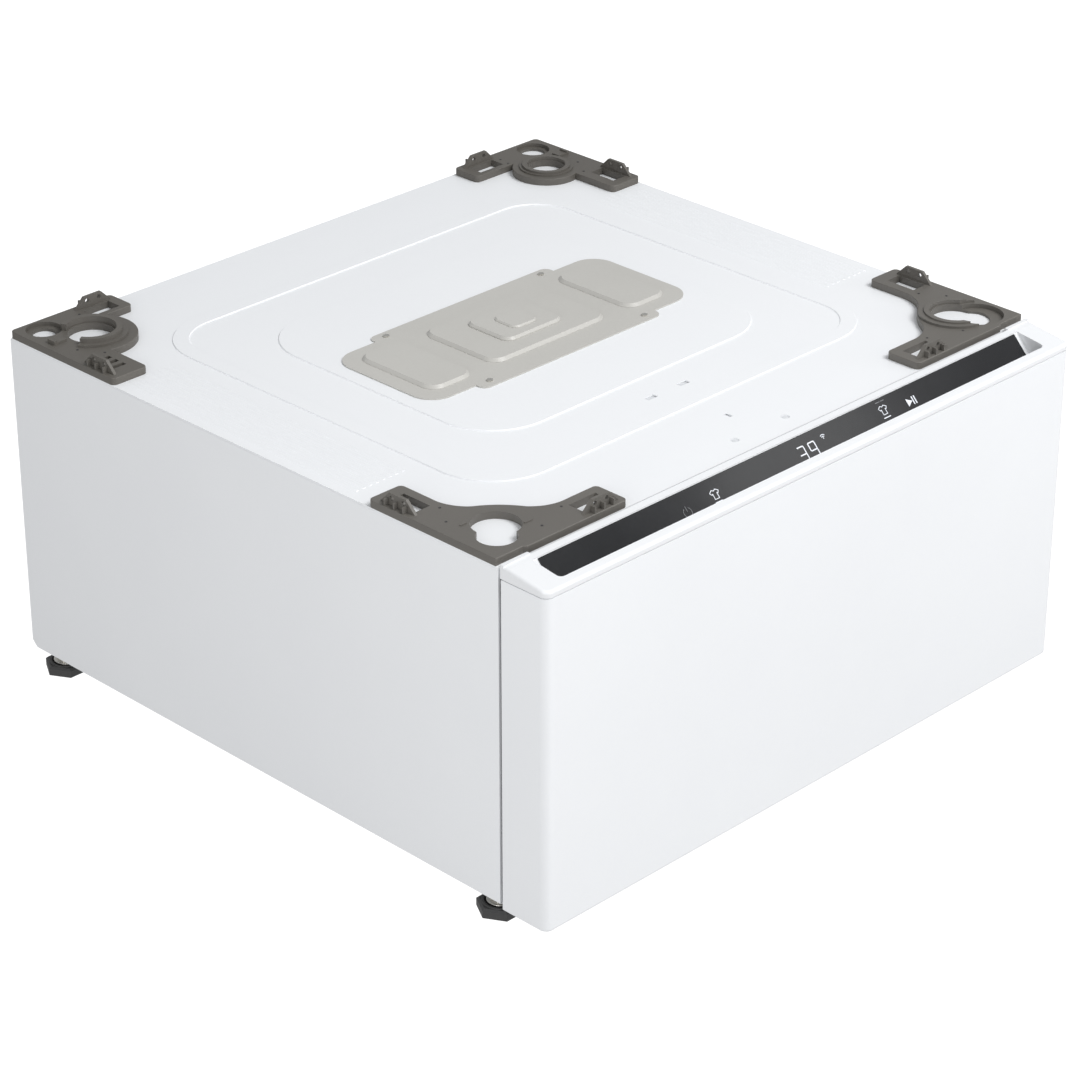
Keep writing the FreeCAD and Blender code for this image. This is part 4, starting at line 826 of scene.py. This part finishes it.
def makePortTrim(name, x, finish):
    low, high = boxOf("inlet_valve")
    end, z = high.y, (low.z + high.z) / 2
    collar = addWasher(name + "_port_collar", (x, end - portTrim["collarBack"], z), (0, 1, 0),
                       portTrim["collarInner"], portTrim["collarOuter"], portTrim["collarThick"], 0.0006)
    dress(collar, finish, "cabinet")
    turns = [end - portTrim["threadFrom"] - n * portTrim["pitch"] for n in range(portTrim["turns"])]
    threads = [addWasher("thread", (x, y, z), (0, 1, 0), portTrim["threadInner"], portTrim["threadOuter"],
                         0.001, 0.0003) for y in turns]
    dress(joinAll(threads, name + "_port_thread"), "greyPlastic", "cabinet")
    deselectAll()
    bpy.ops.mesh.primitive_grid_add(x_subdivisions=10, y_subdivisions=10, size=portTrim["screen"])
    screen = bpy.context.object
    wire = screen.modifiers.new("wire", "WIREFRAME")
    wire.thickness = portTrim["screenWire"]
    bpy.ops.object.modifier_apply(modifier=wire.name)
    screen.name = name + "_port_screen"
    upright = Matrix.Rotation(math.radians(90), 4, "X")
    screen.data.transform(Matrix.Translation((x, end - portTrim["screenBack"], z)) @ upright)
    dress(screen, "brightSteel", "cabinet")


def makeDrainBarbs():
    low, high = boxOf("drain_spigot")
    x, z = (low.x + high.x) / 2, (low.z + high.z) / 2
    rows = [high.y - portTrim["barbFrom"] - n * portTrim["barbPitch"] for n in range(portTrim["barbs"])]
    barbs = [addWasher("barb", (x, y, z), (0, 1, 0), portTrim["barbInner"], portTrim["barbOuter"],
                       0.0016, 0.0004) for y in rows]
    dress(joinAll(barbs, "drain_barbs"), "greyPlastic", "cabinet")


makeRearScrews()
makeRearStamping()
makeVentHoods()
makePortTrim("hot", -0.25, "hotRed")
makePortTrim("cold", -0.2, "coldBlue")
makeDrainBarbs()
print("back of the cabinet made")

bracketPins = {"radius": 0.0012, "bore": 0.5, "deep": 0.0004, "plate": 0.0071}


def makeBracketPins(corner):
    # small moulding pin holes beside the wells and lugs, as shallow rims of dark plastic: painted shade for
    # the holes
    low, high = boxOf("bracket_" + corner)
    left, front = "left" in corner, "front" in corner
    sx, sy = (1 if left else -1), (1 if front else -1)
    x0, y0 = (low.x if left else high.x), (low.y if front else high.y)
    radius, top = bracketPins["radius"], low.z + bracketPins["plate"]
    spots = [(0.068, 0.017), (0.017, 0.078), (0.104 if front else 0.07, 0.03), (0.031, 0.1)]
    rims = [addWasher("rim", (x0 + sx * x, y0 + sy * y, top), (0, 0, 1), radius * bracketPins["bore"], radius,
                      bracketPins["deep"], 0.0001, 16) for x, y in spots]
    # the dark plastic of these rims is painted shade, not a darker material
    dress(joinAll(rims, "bracket_pins_" + corner), "darkPlastic", "cabinet")


topPlugs = {
    "under": 0.0021, "roundX": (-0.033, 0.033), "roundBack": 0.022, "roundRadius": 0.0039, "roundTop": 0.0004,
    "clips": ((-0.021, 0.133, 0.0059, 0.0029), (0.021, 0.133, 0.0059, 0.0029), (0.0, 0.06, 0.0019, 0.0039)),
    "clipTop": 0.0003, "clipDip": 0.0011, "ring": 0.0009,
}


def makeTopPlugs():
    # snap-in plugs that fill the service holes of the top from below
    front = boxOf("top_panel")[0].y
    sheetTop = boxOf("bracket_front_left")[0].z - 0.00005
    under = sheetTop - topPlugs["under"]
    plugs = []
    for x in topPlugs["roundX"]:
        y = front + topPlugs["roundBack"]
        plug = addRod("plug", (x, y, under), (x, y, sheetTop - topPlugs["roundTop"]),
                      topPlugs["roundRadius"], 32)
        selectFaces(plug, lambda c, n: n.z > 0.9)
        bpy.ops.mesh.inset(thickness=topPlugs["ring"])
        bpy.ops.transform.translate(value=(0, 0, -0.0005))
        bpy.ops.mesh.inset(thickness=topPlugs["ring"])
        bpy.ops.transform.translate(value=(0, 0, 0.0006))
        leaveEdit()
        plugs.append(roundEdges(plug, 0.00015))
    for x, back, halfX, halfY in topPlugs["clips"]:
        y = front + back
        plug = addBlock("plug", (x - halfX, y - halfY, under),
                        (x + halfX, y + halfY, sheetTop - topPlugs["clipTop"]))
        selectEdges(plug, lambda a, b, x=x: min(a.z, b.z) > sheetTop - 0.001 and min(a.x, b.x) > x)
        bpy.ops.transform.translate(value=(0, 0, -topPlugs["clipDip"]))
        leaveEdit()
        plugs.append(roundEdges(plug, 0.0002))
    dress(joinAll(plugs, "top_plugs"), "deckPlastic", "cabinet")


for cornerName in ("rear_left", "rear_right", "front_left", "front_right"):
    makeBracketPins(cornerName)
makeTopPlugs()
print("bracket marks and plugs made")

frit = {"inset": 0.0006, "border": 0.013, "corner": 0.045, "sunk": 0.0002, "proud": 0.0001}


def makeLidFrit():
    # the dark printed border of the lid's window
    low, high = boxOf("lid_window")
    band = addBlock("lid_frit", (low.x + frit["inset"], low.y + frit["inset"], high.z - frit["sunk"]),
                    (high.x - frit["inset"], high.y - frit["inset"], high.z + frit["proud"]))
    selectEdges(band, lambda a, b: abs(a.x - b.x) < 1e-5 and abs(a.y - b.y) < 1e-5)
    bpy.ops.mesh.bevel(offset=frit["corner"], segments=10)
    leaveEdit()
    selectFaces(band, lambda c, n: abs(n.z) > 0.9)
    bpy.ops.mesh.inset(thickness=frit["border"])
    bpy.ops.mesh.bridge_edge_loops()
    leaveEdit()
    dress(band, "darkPlastic", "lid")


grip = {"halfWide": 0.045, "halfDeep": 0.005, "back": 0.012, "sunk": 0.004, "proud": 0.0007, "border": 0.002,
        "dish": 0.0004}


def makeLidGrip():
    low, high = boxOf("lid_frame")
    y = low.y + grip["back"]
    handle = addBlock("lid_grip", (-grip["halfWide"], y - grip["halfDeep"], high.z - grip["sunk"]),
                      (grip["halfWide"], y + grip["halfDeep"], high.z + grip["proud"]))
    crownTop(handle, grip["border"], -grip["dish"])
    dress(roundEdges(handle, 0.0004, 3), "deckPlastic", "lid")


deckScrews = {"side": 0.012, "end": 0.02, "inner": 0.12}


def makeDeckScrews():
    low, high = boxOf("deck")
    left, right = low.x + deckScrews["side"], high.x - deckScrews["side"]
    ends = (low.y + deckScrews["end"], high.y - deckScrews["end"])
    spots = [(x, y) for x in (left, right) for y in ends]
    spots.append((right, (low.y + high.y) / 2))
    spots += [(x, y) for x in (-deckScrews["inner"], deckScrews["inner"]) for y in ends]
    heads = [screwHead("deckScrew", (x, y, high.z), (0, 0, 1)) for x, y in spots]
    piece = joinAll(heads, "deck_screws")
    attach(piece, "drawer")


cage = {"edge": 0.0045, "halfThick": 0.0004, "halfWide": 0.0016, "end": 0.02, "balls": 14, "ballEnd": 0.03,
        "ballRadius": 0.0011}


def makeBallCage(side):
    # the stamped strips of a middle rail, with the balls that stand proud of them
    low, high = boxOf("slide_mid_" + side)
    x = (low.x + high.x) / 2
    step = (high.y - low.y - 2 * cage["ballEnd"]) / (cage["balls"] - 1)
    pieces = []
    for z in (low.z + cage["edge"], high.z - cage["edge"]):
        strip = addBlock("strip", (x - cage["halfThick"], low.y + cage["end"], z - cage["halfWide"]),
                         (x + cage["halfThick"], high.y - cage["end"], z + cage["halfWide"]))
        selectFaces(strip, lambda c, n: abs(n.x) > 0.9)
        bpy.ops.mesh.inset(thickness=0.0006)
        leaveEdit()
        pieces.append(roundEdges(strip, 0.0001, 1))
        for n in range(cage["balls"]):
            place = (x, low.y + cage["ballEnd"] + n * step, z)
            deselectAll()
            bpy.ops.mesh.primitive_uv_sphere_add(segments=12, ring_count=8, radius=cage["ballRadius"],
                                                 location=place)
            ball = bpy.context.object
            bpy.ops.object.shade_smooth()
            pieces.append(applyPlace(ball))
    dress(joinAll(pieces, "slide_cage_" + side), "brightSteel", "slide_stage_" + side)


drumRibs = {"count": 6, "radius": 0.0065, "wall": 0.0025, "end": 0.03, "cutFrom": 0.001}


def makeDrumRibs():
    # half-round ribs pressed inwards along the drum wall
    low, high = boxOf("drum_wall")
    axis, radius = (low + high) / 2, (high.x - low.x) / 2 - drumRibs["wall"]
    x = axis.x + radius
    rib = addRod("rib", (x, axis.y, low.z + drumRibs["end"]), (x, axis.y, high.z - drumRibs["end"]),
                 drumRibs["radius"], 24)
    selectFaces(rib, lambda c, n: abs(n.z) > 0.9)
    bpy.ops.mesh.inset(thickness=0.003)
    bpy.ops.mesh.extrude_region_move(TRANSFORM_OT_translate={"value": (0, 0, 0)})
    leaveEdit()
    selectFaces(rib, lambda c, n: c.x > x + drumRibs["cutFrom"])
    bpy.ops.mesh.delete(type="FACE")
    leaveEdit()
    roundEdges(rib, 0.002, 3, 50)
    centre = Matrix.Translation((axis.x, axis.y, 0))
    step = math.radians(360 / drumRibs["count"])
    ribs = [copyTo(rib, "rib", centre @ Matrix.Rotation(step * n, 4, "Z") @ centre.inverted())
            for n in range(1, drumRibs["count"])]
    dress(joinAll([rib] + ribs, "drum_ribs"), "drumSteel", "drum")


hingeCap = {"halfWide": 0.012, "halfDeep": 0.009, "high": 0.005, "back": 0.014, "border": 0.0035,
            "crown": 0.0018}


def makeHingeCaps():
    low, high = boxOf("lid_hinge_pins")
    y, z = (low.y + high.y) / 2 + hingeCap["back"], boxOf("deck")[1].z
    halfX, halfY = hingeCap["halfWide"], hingeCap["halfDeep"]
    for side, x in (("left", low.x), ("right", high.x)):
        cap = addBlock("lid_hinge_cap_" + side, (x - halfX, y - halfY, z),
                       (x + halfX, y + halfY, z + hingeCap["high"]))
        crownTop(cap, hingeCap["border"], hingeCap["crown"])
        dress(roundEdges(cap, 0.0014, 3), "deckPlastic", "drawer")


makeLidFrit()
makeLidGrip()
makeDeckScrews()
makeBallCage("left")
makeBallCage("right")
makeDrumRibs()
makeHingeCaps()
print("drawer details made")
